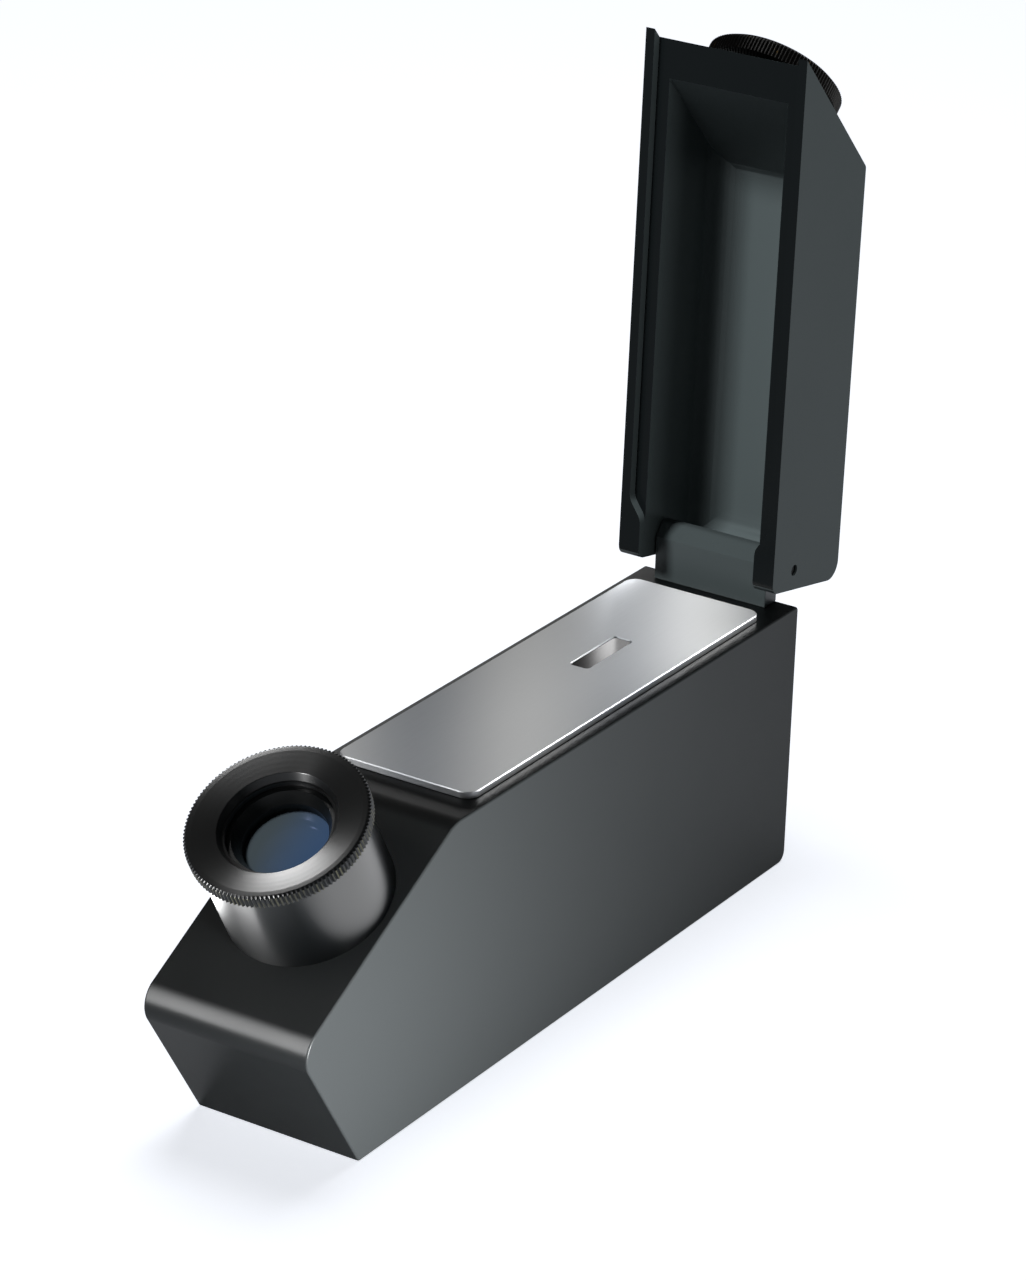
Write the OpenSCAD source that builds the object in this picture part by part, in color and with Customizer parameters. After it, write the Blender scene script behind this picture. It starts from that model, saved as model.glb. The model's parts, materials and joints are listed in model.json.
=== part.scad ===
// Gemstone refractometer for the bench, with a hinged lid over its stage.
// Frame: +Z up, +X to the right, +Y to the back; the eyepiece is at the front.
// The origin is the centre of the flat underside. The lid stands open at rest.

/* [Housing] */
// Width of the housing, side to side
body_w = 33; // [28:1:45]
// Length of the flat underside, front edge to rear wall
base_l = 141; // [115:1:190]
// Height of the flat top that carries the stage plate
body_h = 52; // [46:1:70]
// How far the nose overhangs the front edge of the underside
nose_out = 17.5; // [12:0.5:24]
// Height of the nose above the underside
nose_h = 27; // [20:1:34]
// Distance from the underside's front edge back to the crease between slope and top
crease_in = 27; // [20:1:36]
// Thickness of the housing's walls
wall = 2.4; // [1.8:0.1:3.2]
// Radius of the nose
nose_r = 4.6; // [1:0.2:6]
// Radius of the crease between slope and top
crease_r = 8; // [2:0.5:14]
// Radius of the upper rear edge
rear_r = 0.8; // [0.4:0.1:3]
// Radius of the edges of the underside
foot_r = 0.8; // [0.2:0.1:1.5]
// Bevel along the edges of the side walls
edge_bevel = 0.4; // [0.2:0.05:0.8]

/* [Base plate] */
// Thickness of the base plate
base_t = 2.5; // [2:0.1:4]
// Gap round the base plate in the housing's mouth
base_gap = 0.15; // [0.05:0.05:0.4]
// Diameter of the base screws
base_screw_d = 2.5; // [2:0.1:3]
// Distance from a base screw to the end of the base plate
base_screw_in = 4.5; // [4:0.5:8]
// Height of the screw bosses above the underside
boss_h = 13; // [9:1:18]

/* [Stage] */
// Distance from the housing's side in to the stage plate
stage_side_in = 2.5; // [2.2:0.1:4]
// Thickness of the stage plate
stage_t = 1.3; // [0.8:0.1:1.6]
// Distance from the crease back to the plate's front edge
stage_front_in = 8.2; // [6:0.2:12]
// Distance from the rear wall forward to the plate's rear edge
stage_rear_in = 9.2; // [8:0.2:14]
// Radius of the stage plate's corners
stage_r = 2.6; // [1:0.2:5]
// Bevel round the upper edge of the stage plate
stage_bevel = 0.35; // [0.1:0.05:0.6]
// Length of the prism slot in the stage plate
slot_l = 15.2; // [12:0.2:20]
// Width of the prism slot in the stage plate
slot_w = 3.8; // [3:0.2:6]
// Radius of the slot's corners
slot_r = 0.7; // [0.3:0.1:1.4]

/* [Prism] */
// Radius of the half-round prism
prism_r = 9; // [8:0.2:12]
// Width of the prism, side to side
prism_w = 7; // [5:0.5:9]
// How far the prism's table lies below the plate's upper face
table_drop = 0.2; // [0.05:0.05:0.5]
// Gap between the table and the slot's edge
table_gap = 0.1; // [0.05:0.05:0.3]

/* [Lid] */
// Depth of the closed lid, mouth to roof
lid_h = 24.5; // [20:0.5:30]
// Distance from the crease back to the closed lid's front edge
lid_front_in = 13.5; // [8:0.5:20]
// Slant of the lid's front face
lid_slant = 44.5; // [35:0.5:60]
// Lean of the lid's rear wall
lid_lean = 10; // [0:0.5:12]
// Gap between the closed lid's rim and the housing's top
lid_gap = 0.3; // [0.2:0.05:0.8]
// Thickness of the lid's side walls
lid_wall = 4.3; // [3:0.1:5]
// Thickness of the lid's roof
lid_roof = 2; // [1.5:0.1:3]
// Thickness of the lid's rear wall
lid_rear_t = 1.7; // [1.2:0.1:1.9]
// Thickness of the lid's slanted front wall
lid_front_t = 5; // [4:0.1:6]
// Width of the rim that stands proud along the side walls
rim_w = 1.8; // [1.2:0.1:2.1]
// Height by which that rim stands proud, to straddle the stage plate
rim_h = 1.8; // [1.6:0.1:2.6]
// Angle from closed to fully open
open_a = 91.3; // [90.5:0.1:93]
// Radius of the lid's edge where slant meets roof
lid_front_r = 1.2; // [0.4:0.1:3]
// Radius of the lid's upper rear edge
lid_rear_r = 3.2; // [1:0.1:5]
// Radius of the lid's lower rear edge, by the hinge
lid_foot_r = 2.2; // [1:0.1:2.4]
// Radius of the pocket's inner corners
pocket_r = 6; // [3:0.5:8]

/* [Hinge] */
// Diameter of the hinge pin
pin_d = 2; // [1.6:0.1:2.4]
// Height of the pin above the housing's top
pin_h = 8; // [7.5:0.1:10]
// Distance from the rear wall forward to the pin
pin_in = 2.5; // [2.4:0.1:3]
// Thickness of the hinge block, front to back
block_t = 4.2; // [3.8:0.1:4.4]
// Height of the hinge block's front face
block_front_h = 8.4; // [7:0.1:9]
// Height of the hinge block's rounded crest
block_h = 11; // [10:0.1:11.4]
// Gap between the hinge block and each side wall of the lid
side_gap = 0.3; // [0.2:0.05:0.5]
// Running clearance round pins and sliding tubes
run_gap = 0.05; // [0.02:0.01:0.09]
// How far the pin's ends lie below the lid's side walls
pin_drop = 0.35; // [0.2:0.05:0.8]
// Length of the tenon under the hinge block
tenon_l = 7; // [5:0.5:9]
// Diameter of the screws in the tenon
block_screw_d = 2; // [1.6:0.1:2.4]
// Gap that stays between parts that move past each other
move_gap = 0.3; // [0.2:0.05:0.5]

/* [Eyepiece] */
// Place of the eyepiece on the slope, as a share of the slope's length from the nose
eyepiece_share = 0.578; // [0.5:0.01:0.65]
// Distance from the housing's side in to the knurled focus ring
ring_in = 0.5; // [0.2:0.1:1.5]
// How far the focus ring overhangs the barrel
ring_lip = 1.1; // [0.6:0.1:2]
// Height of the barrel above the slope
barrel_h = 16.8; // [14:0.2:20]
// Thickness of the knurled focus ring
ring_t = 2.8; // [2:0.1:4]
// Depth of the dish in the focus ring's face
ring_dish = 0.5; // [0.2:0.1:0.8]
// How far the opening in the focus ring's face lies inside the focus tube
mouth_in = 0.8; // [0.4:0.1:1.4]
// Number of teeth in the focus ring's knurl
ring_teeth = 128; // [60:4:140]
// Depth of the knurls
knurl_depth = 0.35; // [0.2:0.05:0.5]
// Travel of the focus ring
focus_travel = 2.5; // [1:0.5:4]
// Thickness of the barrel's wall round the threaded sleeve
barrel_wall = 1.5; // [1.2:0.1:2]
// Length of the threaded sleeve that stays in the barrel at full travel
sleeve_grip = 5.5; // [4:0.5:6.5]
// Distance from the housing's inner wall in to the barrel's spigot
spigot_in = 1.5; // [1.4:0.1:2]
// Thickness of the spigot's wall round the focus tube
spigot_wall = 1.4; // [1:0.1:2]
// Thickness of the focus tube's wall round the eye lens
tube_wall = 2.6; // [2:0.1:3.2]
// Length of the focus tube
tube_l = 24; // [20:0.5:28]
// Depth of the eye lens's edge below the focus ring's face
lens_depth = 7.4; // [7:0.1:8]
// Thickness of a lens at its edge
lens_edge = 1.4; // [1:0.1:2]
// Radius of curvature of the lens faces
lens_curve_r = 22; // [18:1:40]
// Thickness of the nut that holds the barrel
nut_t = 2.4; // [2:0.1:4]

/* [Scale and mirror] */
// Thickness of the scale glass
scale_t = 1.2; // [0.8:0.1:2]
// Distance from the slope in to the scale glass
scale_depth = 15; // [13:0.5:18]
// Height of the mirror's middle above the underside
mirror_h = 12.7; // [11.5:0.1:15]
// Length of the mirror
mirror_l = 20; // [16:1:24]
// Width of the mirror
mirror_w = 18; // [14:1:22]
// Thickness of the mirror
mirror_t = 2; // [1.5:0.1:3]

/* [Objective] */
// Place of the objective, as a share of the way from prism to mirror
objective_share = 0.42; // [0.38:0.01:0.5]
// Radius of the objective tube
objective_r = 8; // [7:0.2:9]
// Length of the objective tube
objective_l = 24; // [18:1:30]
// Radius of the objective lenses
objective_lens_r = 6.6; // [5.8:0.1:7]
// Width of the objective holder's two ribs
holder_rib = 3; // [2:0.2:4]
// Thickness of the objective holder, front to back
holder_t = 9; // [7:0.5:12]

/* [Light port] */
// Height of the light port in the rear wall
port_h = 30; // [24:1:36]
// Radius of the hole in the rear wall
port_r = 6.5; // [6.2:0.1:7.6]
// Radius of the bore that takes a lamp's nose
lamp_r = 5; // [4:0.1:5.4]
// Radius of the bezel's flange
bezel_r = 8.4; // [8.2:0.1:10]
// Thickness of the bezel's flange
bezel_t = 1.2; // [0.8:0.1:2]

/* [Polarising filter] */
// Place of the parked filter, as a share of the lid's slanted front
filter_share = 0.57; // [0.5:0.01:0.6]
// Radius of the filter's knurled ring
filter_r = 13; // [12:0.1:14.5]
// Height of the ring's face above the lid
filter_h = 7; // [6:0.1:9]
// Radius of the filter's neck
neck_r = 11.4; // [11:0.1:11.8]
// Height of the neck's shoulder above the lid
neck_h = 2.6; // [2:0.1:3.2]
// Radius of the hub that the ring turns on
hub_r = 10; // [9.6:0.1:10.4]
// Height of the hub above the lid
hub_h = 4.6; // [4:0.1:5]
// Radius of the parking boss on the lid
park_r = 8.4; // [7.6:0.1:8.8]
// Height of the parking boss
park_h = 2.2; // [1.6:0.1:2.8]
// Number of teeth in the filter ring's knurl
filter_teeth = 120; // [80:4:140]
// Radius of the polarising glass
glass_r = 9.4; // [9:0.1:9.8]
// Thickness of the polarising glass
glass_t = 1; // [0.6:0.1:1.2]

/* [Hidden] */

// Fineness of round shapes, and the step of a rounded corner
$fn = 96;
arc_step = 7;
// Overrun of every cut
over = 0.5;
// Fit between pieces that stay together
seat_gap = 0.02;

// Places along the housing, from front to back
front = -base_l / 2;
rear = base_l / 2;
crease = front + crease_in;
nose = front - nose_out;
inner_w = body_w - 2 * wall;

// The slope and the eyepiece's foot on it
slope_run = crease - nose;
slope_rise = body_h - nose_h;
slope_a = atan2(slope_rise, slope_run);
foot_y = nose + eyepiece_share * slope_run;
foot_z = nose_h + eyepiece_share * slope_rise;

// The stage
stage_front = crease + stage_front_in;
stage_rear = rear - stage_rear_in;
stage_l = stage_rear - stage_front;
stage_w = body_w - 2 * stage_side_in;
slot_share = 0.657;
slot_y = stage_front + slot_share * stage_l;
table_h = stage_t - table_drop;
yoke_t = wall;
yoke_l = prism_r * 2;
yoke_bar_l = prism_r * 0.6;
yoke_cheek = prism_w / 2 + seat_gap + yoke_t;
yoke_reach = inner_w / 2 - wall * 0.8;
yoke_flange_l = yoke_l * 0.7;
carrier_screw_d = block_screw_d;
prism_hole_gap = move_gap;
yoke_floor_z = body_h - prism_r - yoke_t * 0.3;

// The hinge
pin_y = rear - pin_in;
pin_z = body_h + pin_h;
block_rear = pin_y + block_t / 2;
block_front = pin_y - block_t / 2;
block_w = body_w - 2 * (lid_wall + side_gap);
block_screw_share = 0.3;
block_screw_x = block_w * block_screw_share;
crest_share = 0.5;
tenon_w = block_w * 0.85;
tenon_t = rear - wall - block_front;
bite_share = 0.6;

// The closed lid
mouth_z = body_h + lid_gap;
roof_z = mouth_z + lid_h;
lid_front = crease + lid_front_in;
slant_run = lid_h / tan(lid_slant);
slant_l = norm([slant_run, lid_h]);
lean_run = lid_h * tan(lid_lean);
pocket_w = body_w - 2 * lid_wall;
recess_w = body_w - 2 * rim_w;
pocket_front = lid_front + lid_front_t / sin(lid_slant);
pocket_rear = rear - lid_rear_t / cos(lid_lean);
lobe_l = rim_h * 2;
lobe_y = stage_rear + move_gap * 5;
stop_z = pin_z + block_t / 2 + move_gap * 0.6;
stop_y = block_rear + move_gap;
crest_z = body_h + block_h + move_gap * 2;

// Radii of the eyepiece, from the focus ring in to the eye lens
ring_r = body_w / 2 - ring_in;
barrel_r = ring_r - ring_lip;
sleeve_r = barrel_r - barrel_wall;
spigot_r = inner_w / 2 - spigot_in;
tube_r = spigot_r - spigot_wall;
mouth_r = tube_r - mouth_in;
lens_r = tube_r - tube_wall;

// The eyepiece, measured outward from the slope along its axis
ring_top = barrel_h + move_gap + ring_t;
ring_foot = barrel_h + move_gap;
lens_edge_z = ring_top - lens_depth;
sleeve_l = sleeve_grip + focus_travel;
sleeve_foot = ring_foot - sleeve_l;
tube_top = ring_top - ring_t * 0.75;
tube_foot = tube_top - tube_l;
aperture_share = 0.87;
aperture_r = lens_r * aperture_share;
lens_rise = sag(lens_r) - sag(aperture_r);
lens_seat_z = lens_edge_z - lens_edge - lens_rise;
lens_ring_top = tube_top - ring_t * 0.32;
lens_cone_share = 0.45;
guide_foot = -scale_depth + scale_t;
ring_cone = ring_t * 0.75;

// The mirror and the line from the prism to it
mirror_y = foot_y + (foot_z - mirror_h) * tan(slope_a);
mirror_z = mirror_h;
prism_y = slot_y;
prism_z = body_h - prism_r / 3;
beam_a = atan2(prism_z - mirror_z, prism_y - mirror_y);
mirror_a = (90 - slope_a - beam_a) / 2;
bracket_w = mirror_w * 1.1;
bracket_l = mirror_l * 0.8;
objective_y = prism_y + (mirror_y - prism_y) * objective_share;
objective_z = prism_z + (mirror_z - prism_z) * objective_share;
holder_w = objective_r * 2 + holder_rib * 2;
objective_aperture_r = objective_lens_r * aperture_share;
objective_seat = objective_l / 2 - 2 * lens_edge;
objective_rise = sag(objective_lens_r) - sag(objective_aperture_r);

// The light port, measured outward from the rear wall's face
port_foot = -wall * 2.5;
light_glass_share = 0.4;
light_glass_r = lamp_r + (port_r - lamp_r) * light_glass_share;
light_glass_t = wall * 0.6;

// The filter
filter_along = filter_share * slant_l;
clear_r = park_r - wall / 2;

function unit(v) = v / norm(v);

// How far a lens face has fallen back at the distance r from its axis
function sag(r) = lens_curve_r - sqrt(lens_curve_r * lens_curve_r - r * r);

// A place on the line from p to q, at the share k of the way
function between(p, q, k) = p + (q - p) * k;

// The points that round the corner b between its neighbours a and c
function corner(a, b, c, r) =
    let (
        u = unit(a - b),
        v = unit(c - b),
        half = acos(u * v) / 2,
        middle = b + unit(u + v) * r / sin(half),
        p = b + u * r / tan(half) - middle,
        q = b + v * r / tan(half) - middle,
        turn = 180 - 2 * half,
        steps = ceil(turn / arc_step)
    )
    r <= 0
        ? [b]
        : [for (i = [0:steps])
            middle + (p * sin(turn * (1 - i / steps)) + q * sin(turn * i / steps)) / sin(turn)];

// An outline of [across, up, radius] corners, as points with each corner rounded
function rounded(corners) =
    let (n = len(corners), at = [for (c = corners) [c[0], c[1]]])
    [for (i = [0:n - 1]) each corner(at[(i + n - 1) % n], at[i], at[(i + 1) % n], corners[i][2])];

// The same convex outline with every side moved inward by d
function inset(corners, d) =
    let (n = len(corners), at = [for (c = corners) [c[0], c[1]]])
    [for (i = [0:n - 1])
        let (
            u = unit(at[(i + n - 1) % n] - at[i]),
            v = unit(at[(i + 1) % n] - at[i]),
            p = at[i] + unit(u + v) * d / sin(acos(u * v) / 2)
        )
        [p[0], p[1], max(corners[i][2] - d, 0)]];

// Teeth round a circle: points that step out to r and in to r - depth
function knurled(r, depth, teeth) =
    [for (i = [0:4 * teeth - 1])
        let (a = 90 * (i + 0.5) / teeth, s = (i % 4 < 2) ? r : r - depth)
        [s * cos(a), s * sin(a)]];

// Extrudes a side profile of [y, z] points across the width
module across(width) {
    rotate([90, 0, 90])
        linear_extrude(width, center = true)
            children();
}

// A slab with a bevel along the edges of both side faces
module bevelled_slab(corners, width, bevel) {
    hull() {
        across(width)
            polygon(rounded(inset(corners, bevel)));
        across(width - 2 * bevel)
            polygon(rounded(corners));
    }
}

// A rectangle centred on the origin with rounded corners
module rounded_rect(w, l, r) {
    polygon(rounded([[-w / 2, -l / 2, r], [w / 2, -l / 2, r], [w / 2, l / 2, r], [-w / 2, l / 2, r]]));
}

// A ring between two radii
module ring(outer, inner, from, to) {
    translate([0, 0, from])
        difference() {
            cylinder(h = to - from, r = outer);
            translate([0, 0, -over])
                cylinder(h = to - from + 2 * over, r = inner);
        }
}

// Places its children on the eyepiece's axis, with z = 0 on the slope
module on_slope() {
    translate([0, foot_y, foot_z])
        rotate([slope_a, 0, 0])
            children();
}

// Swings its children from the closed lid's place to the open one
module opened() {
    translate([0, pin_y, pin_z])
        rotate([-open_a, 0, 0])
            translate([0, -pin_y, -pin_z])
                children();
}

// Places its children on the closed lid's slanted front, with z = 0 on it
module on_slant() {
    translate([0, lid_front + filter_along * cos(lid_slant), mouth_z + filter_along * sin(lid_slant)])
        rotate([lid_slant, 0, 0])
            children();
}

// Places its children on the line from the prism to the mirror, with z = 0 at the objective's middle
module on_beam() {
    translate([0, objective_y, objective_z])
        rotate([90 + beam_a, 0, 0])
            children();
}

// A lens with two convex faces, its edge's lower rim at z = 0
module lens(r, edge) {
    bulge = sag(r);
    intersection() {
        translate([0, 0, -bulge])
            cylinder(h = edge + 2 * bulge, r = r);
        translate([0, 0, edge + bulge - lens_curve_r])
            sphere(r = lens_curve_r);
        translate([0, 0, lens_curve_r - bulge])
            sphere(r = lens_curve_r);
    }
}

// Outer side profile of the housing
function housing_corners() = [
    [front, 0, foot_r],
    [nose, nose_h, nose_r],
    [crease, body_h, crease_r],
    [rear, body_h, rear_r],
    [rear, 0, foot_r]
];

mouth_front = front + wall / sin(atan2(nose_h, nose_out));
mouth_l = rear - wall - mouth_front;
mouth_y = mouth_front + mouth_l / 2;
boss_r = base_screw_d * 1.4;
boss_x = inner_w / 2 - boss_r * 0.95;

// The four places of the base screws
module at_base_screws() {
    for (side = [-1, 1], y = [mouth_front + base_screw_in, rear - wall - base_screw_in])
        translate([side * boss_x, y, 0])
            children();
}

module housing() {
    color([0.11, 0.12, 0.12])
        difference() {
            union() {
                difference() {
                    bevelled_slab(housing_corners(), body_w, edge_bevel);
                    across(inner_w)
                        polygon(rounded(inset(housing_corners(), wall)));
                    translate([-inner_w / 2, mouth_front, -over])
                        cube([inner_w, mouth_l, wall + 2 * over]);
                }
                intersection() {
                    at_base_screws()
                        translate([0, 0, base_t])
                            cylinder(h = boss_h - base_t, r = boss_r);
                    across(body_w - wall)
                        polygon(rounded(inset(housing_corners(), wall / 2)));
                }
            }
            at_base_screws()
                translate([0, 0, base_t - over])
                    cylinder(h = boss_h - base_t, r = base_screw_d / 2 + seat_gap);
            on_slope()
                translate([0, 0, -2 * wall])
                    cylinder(h = 3 * wall, r = spigot_r + seat_gap);
            translate([0, prism_y, body_h])
                cube([prism_w + 2 * prism_hole_gap, 2 * (prism_r + prism_hole_gap), 3 * wall], center = true);
            translate([0, rear - 2 * wall, port_h])
                rotate([-90, 0, 0])
                    cylinder(h = 3 * wall, r = port_r + seat_gap);
            translate([-tenon_w / 2 - seat_gap, block_front - seat_gap, body_h - wall - over])
                cube([tenon_w + 2 * seat_gap, tenon_t + seat_gap, wall + 2 * over]);
            at_block_screws()
                translate([0, 0, -tenon_t - wall * bite_share - seat_gap])
                    cylinder(h = wall * bite_share + over, r = block_screw_d / 2 + seat_gap);
            at_carrier_screws()
                cylinder(h = yoke_t + wall * bite_share + seat_gap, r = carrier_screw_d / 2 + seat_gap);
        }
}

module base_plate() {
    color([0.14, 0.15, 0.15])
        difference() {
            translate([0, mouth_y, 0])
                linear_extrude(base_t)
                    square([inner_w - 2 * base_gap, mouth_l - 2 * base_gap], center = true);
            at_base_screws()
                screw_seat();
            at_mirror_screws()
                screw_seat();
        }
}

// The hole and the counterbore for a screw that comes up through the base plate
module screw_seat() {
    translate([0, 0, -over])
        cylinder(h = base_t + 2 * over, r = base_screw_d / 2 + seat_gap);
    translate([0, 0, -over])
        cylinder(h = base_screw_d / 2 + over, r = base_screw_d);
}

// The two places of the mirror bracket's screws
module at_mirror_screws() {
    for (side = [-1, 1])
        translate([side * bracket_w / 4, mirror_y, 0])
            children();
}

// A screw with a flat head whose upper face is at z = 0 and a shank below it
module screw(d, length, head) {
    translate([0, 0, -head])
        difference() {
            cylinder(h = head, r = d * 0.95);
            translate([-d, -d / 8, head - head / 2])
                cube([2 * d, d / 4, head]);
        }
    translate([0, 0, -head - length])
        cylinder(h = length, r = d / 2);
}

module base_screws() {
    color([0.55, 0.56, 0.57])
        at_base_screws()
            mirror([0, 0, 1])
                screw(base_screw_d, boss_h - base_t - base_screw_d / 2, base_screw_d / 2);
}

module stage_plate() {
    color([0.72, 0.72, 0.73])
        translate([0, stage_front + stage_l / 2, body_h])
            difference() {
                hull() {
                    linear_extrude(stage_t - stage_bevel)
                        rounded_rect(stage_w, stage_l, stage_r);
                    linear_extrude(stage_t)
                        rounded_rect(stage_w - 2 * stage_bevel, stage_l - 2 * stage_bevel, stage_r - stage_bevel);
                }
                translate([0, slot_y - stage_front - stage_l / 2, -over])
                    linear_extrude(stage_t + 2 * over)
                        rounded_rect(slot_w, slot_l, slot_r);
            }
}

module prism() {
    color([0.75, 0.72, 0.55, 0.6])
        translate([0, prism_y, body_h]) {
            intersection() {
                rotate([0, 90, 0])
                    cylinder(h = prism_w, r = prism_r, center = true);
                translate([-prism_w, -2 * prism_r, -2 * prism_r])
                    cube([2 * prism_w, 4 * prism_r, 2 * prism_r]);
            }
            linear_extrude(table_h)
                rounded_rect(slot_w - 2 * table_gap, slot_l - 2 * table_gap, slot_r);
        }
}

// A yoke under the housing's top: two cheeks beside the prism and a bar beneath it
module prism_carrier() {
    under = body_h - wall;
    color([0.2, 0.2, 0.2])
        difference() {
            union() {
                for (side = [-1, 1])
                    mirror([(1 - side) / 2, 0, 0]) {
                        translate([yoke_cheek - yoke_t, prism_y - yoke_l / 2, under - prism_r])
                            cube([yoke_t, yoke_l, prism_r]);
                        translate([yoke_cheek - yoke_t, prism_y - yoke_flange_l / 2, under - yoke_t])
                            cube([yoke_reach - yoke_cheek + yoke_t, yoke_flange_l, yoke_t]);
                    }
                translate([0, prism_y, yoke_floor_z])
                    cube([prism_w + 2 * yoke_t, yoke_bar_l, yoke_t], center = true);
            }
            translate([0, prism_y, body_h])
                rotate([0, 90, 0])
                    cylinder(h = prism_w + 2 * seat_gap, r = prism_r + seat_gap, center = true);
            at_carrier_screws()
                translate([0, 0, -2 * yoke_t])
                    cylinder(h = 3 * yoke_t, r = carrier_screw_d / 2 + seat_gap);
        }
}

// The places of the carrier's screws, on the flanges' undersides
module at_carrier_screws() {
    for (side = [-1, 1])
        translate([side * (yoke_cheek + yoke_reach) / 2, prism_y, body_h - wall - yoke_t])
            children();
}

module carrier_screws() {
    color([0.55, 0.56, 0.57])
        at_carrier_screws()
            mirror([0, 0, 1])
                translate([0, 0, carrier_screw_d / 2])
                    screw(carrier_screw_d, yoke_t + wall * bite_share, carrier_screw_d / 2);
}

// Side profile of the hinge block: flat front, crest rounded up to the rear
function block_corners() = [
    [block_front, body_h, 0],
    [block_front, body_h + block_front_h, 0],
    [between(block_front, block_rear, crest_share), body_h + block_h, block_t * 0.3],
    [block_rear, body_h + block_h, block_t * 0.2],
    [block_rear, body_h, 0]
];

module hinge_block() {
    color([0.2, 0.21, 0.21])
        difference() {
            union() {
                across(block_w)
                    polygon(rounded(block_corners()));
                translate([-tenon_w / 2, block_front, body_h - wall - tenon_l])
                    cube([tenon_w, tenon_t, wall + tenon_l + over]);
            }
            translate([0, pin_y, pin_z])
                rotate([0, 90, 0])
                    cylinder(h = block_w + 2 * over, r = pin_d / 2 + seat_gap, center = true);
            at_block_screws()
                translate([0, 0, -tenon_t - over])
                    cylinder(h = tenon_t + 2 * over, r = block_screw_d / 2 + seat_gap);
        }
}

// The places of the tenon's screws, with z = 0 on its front face and pointing to the front
module at_block_screws() {
    for (side = [-1, 1])
        translate([side * block_screw_x, block_front, body_h - wall - tenon_l / 2])
            rotate([90, 0, 0])
                children();
}

module block_screws() {
    color([0.55, 0.56, 0.57])
        at_block_screws()
            translate([0, 0, block_screw_d / 2])
                screw(block_screw_d, tenon_t + wall * bite_share, block_screw_d / 2);
}

module hinge_pin() {
    color([0.5, 0.5, 0.5])
        translate([0, pin_y, pin_z])
            rotate([0, 90, 0])
                cylinder(h = body_w - 2 * pin_drop, r = pin_d / 2, center = true);
}

// Outer side profile of the closed lid
function lid_corners() = [
    [lid_front, mouth_z, 0],
    [lid_front + slant_run, roof_z, lid_front_r],
    [rear + lean_run, roof_z, lid_rear_r],
    [rear, mouth_z, lid_foot_r]
];

// Side profile of the pocket, running out below the mouth
function pocket_corners() =
    let (
        up = lid_h - lid_roof,
        down = rim_h + over
    )
    [
        [pocket_front - down / tan(lid_slant), mouth_z - down, 0],
        [pocket_front + up / tan(lid_slant), mouth_z + up, pocket_r],
        [pocket_rear + up * tan(lid_lean), mouth_z + up, pocket_r],
        [pocket_rear - down * tan(lid_lean), mouth_z - down, 0]
    ];

// Cross-section of the pocket, with its inner corners rounded
function pocket_section() = [
    [-pocket_w / 2, mouth_z - 2 * over, 0],
    [-pocket_w / 2, roof_z - lid_roof, pocket_r],
    [pocket_w / 2, roof_z - lid_roof, pocket_r],
    [pocket_w / 2, mouth_z - 2 * over, 0]
];

// Outline of the shallow recess inside the proud rim, narrowing to the hinge lobes
function recess_corners() = [
    [-recess_w / 2, lid_front - rim_h, 0],
    [recess_w / 2, lid_front - rim_h, 0],
    [recess_w / 2, lobe_y - lobe_l, lobe_l],
    [pocket_w / 2, lobe_y, lobe_l],
    [pocket_w / 2, rear - pin_in, 0],
    [-pocket_w / 2, rear - pin_in, 0],
    [-pocket_w / 2, lobe_y, lobe_l],
    [-recess_w / 2, lobe_y - lobe_l, lobe_l]
];

module lid() {
    color([0.12, 0.13, 0.13])
        opened()
            difference() {
                bevelled_slab(lid_corners(), body_w, edge_bevel);
                intersection() {
                    across(pocket_w)
                        polygon(rounded(pocket_corners()));
                    translate([0, rear + lid_h, 0])
                        rotate([90, 0, 0])
                            linear_extrude(2 * base_l)
                                polygon(rounded(pocket_section()));
                }
                translate([0, 0, mouth_z - over])
                    linear_extrude(rim_h + over)
                        polygon(rounded(recess_corners()));
                translate([-pocket_w / 2, block_front - lid_wall, mouth_z - over])
                    cube([pocket_w, stop_y - block_front + lid_wall, crest_z - mouth_z + over]);
                translate([-pocket_w / 2, stop_y - over, mouth_z - over])
                    cube([pocket_w, lid_h, stop_z - mouth_z + over]);
                translate([0, pin_y, pin_z])
                    rotate([0, 90, 0])
                        cylinder(h = body_w + 2 * over, r = pin_d / 2 + run_gap, center = true);
            }
}

module parking_boss() {
    color([0.1, 0.1, 0.1])
        opened()
            on_slant()
                ring(park_r, clear_r, 0, park_h);
}

module filter_sleeve() {
    foot = move_gap;
    color([0.1, 0.1, 0.1])
        opened()
            on_slant() {
                ring(neck_r, park_r + run_gap, foot, neck_h);
                ring(hub_r, park_r + run_gap, neck_h - seat_gap, hub_h);
            }
}

// A knurled band whose two rims are bevelled
module knurled_band(r, teeth, from, to, bevel) {
    translate([0, 0, from + bevel])
        linear_extrude(to - from - 2 * bevel)
            polygon(knurled(r, knurl_depth, teeth));
    for (end = [0, 1])
        translate([0, 0, end ? to - bevel : from + bevel])
            mirror([0, 0, 1 - end])
                cylinder(h = bevel, r1 = r - knurl_depth, r2 = r - knurl_depth - bevel);
}

module filter_ring() {
    foot = neck_h + move_gap;
    seat = filter_h - wall / 2 - glass_t;
    color([0.15, 0.13, 0.08])
        opened()
            on_slant()
                difference() {
                    knurled_band(filter_r, filter_teeth, foot, filter_h, knurl_depth * 2);
                    translate([0, 0, foot - over])
                        cylinder(h = hub_h + move_gap - foot + over, r = hub_r + run_gap);
                    translate([0, 0, foot])
                        cylinder(h = seat + glass_t - foot, r = glass_r + seat_gap);
                    cylinder(h = filter_h + over, r = clear_r);
                    translate([0, 0, filter_h - wall / 4])
                        cylinder(h = wall / 2, r1 = clear_r, r2 = clear_r + wall / 2);
                }
}

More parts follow.
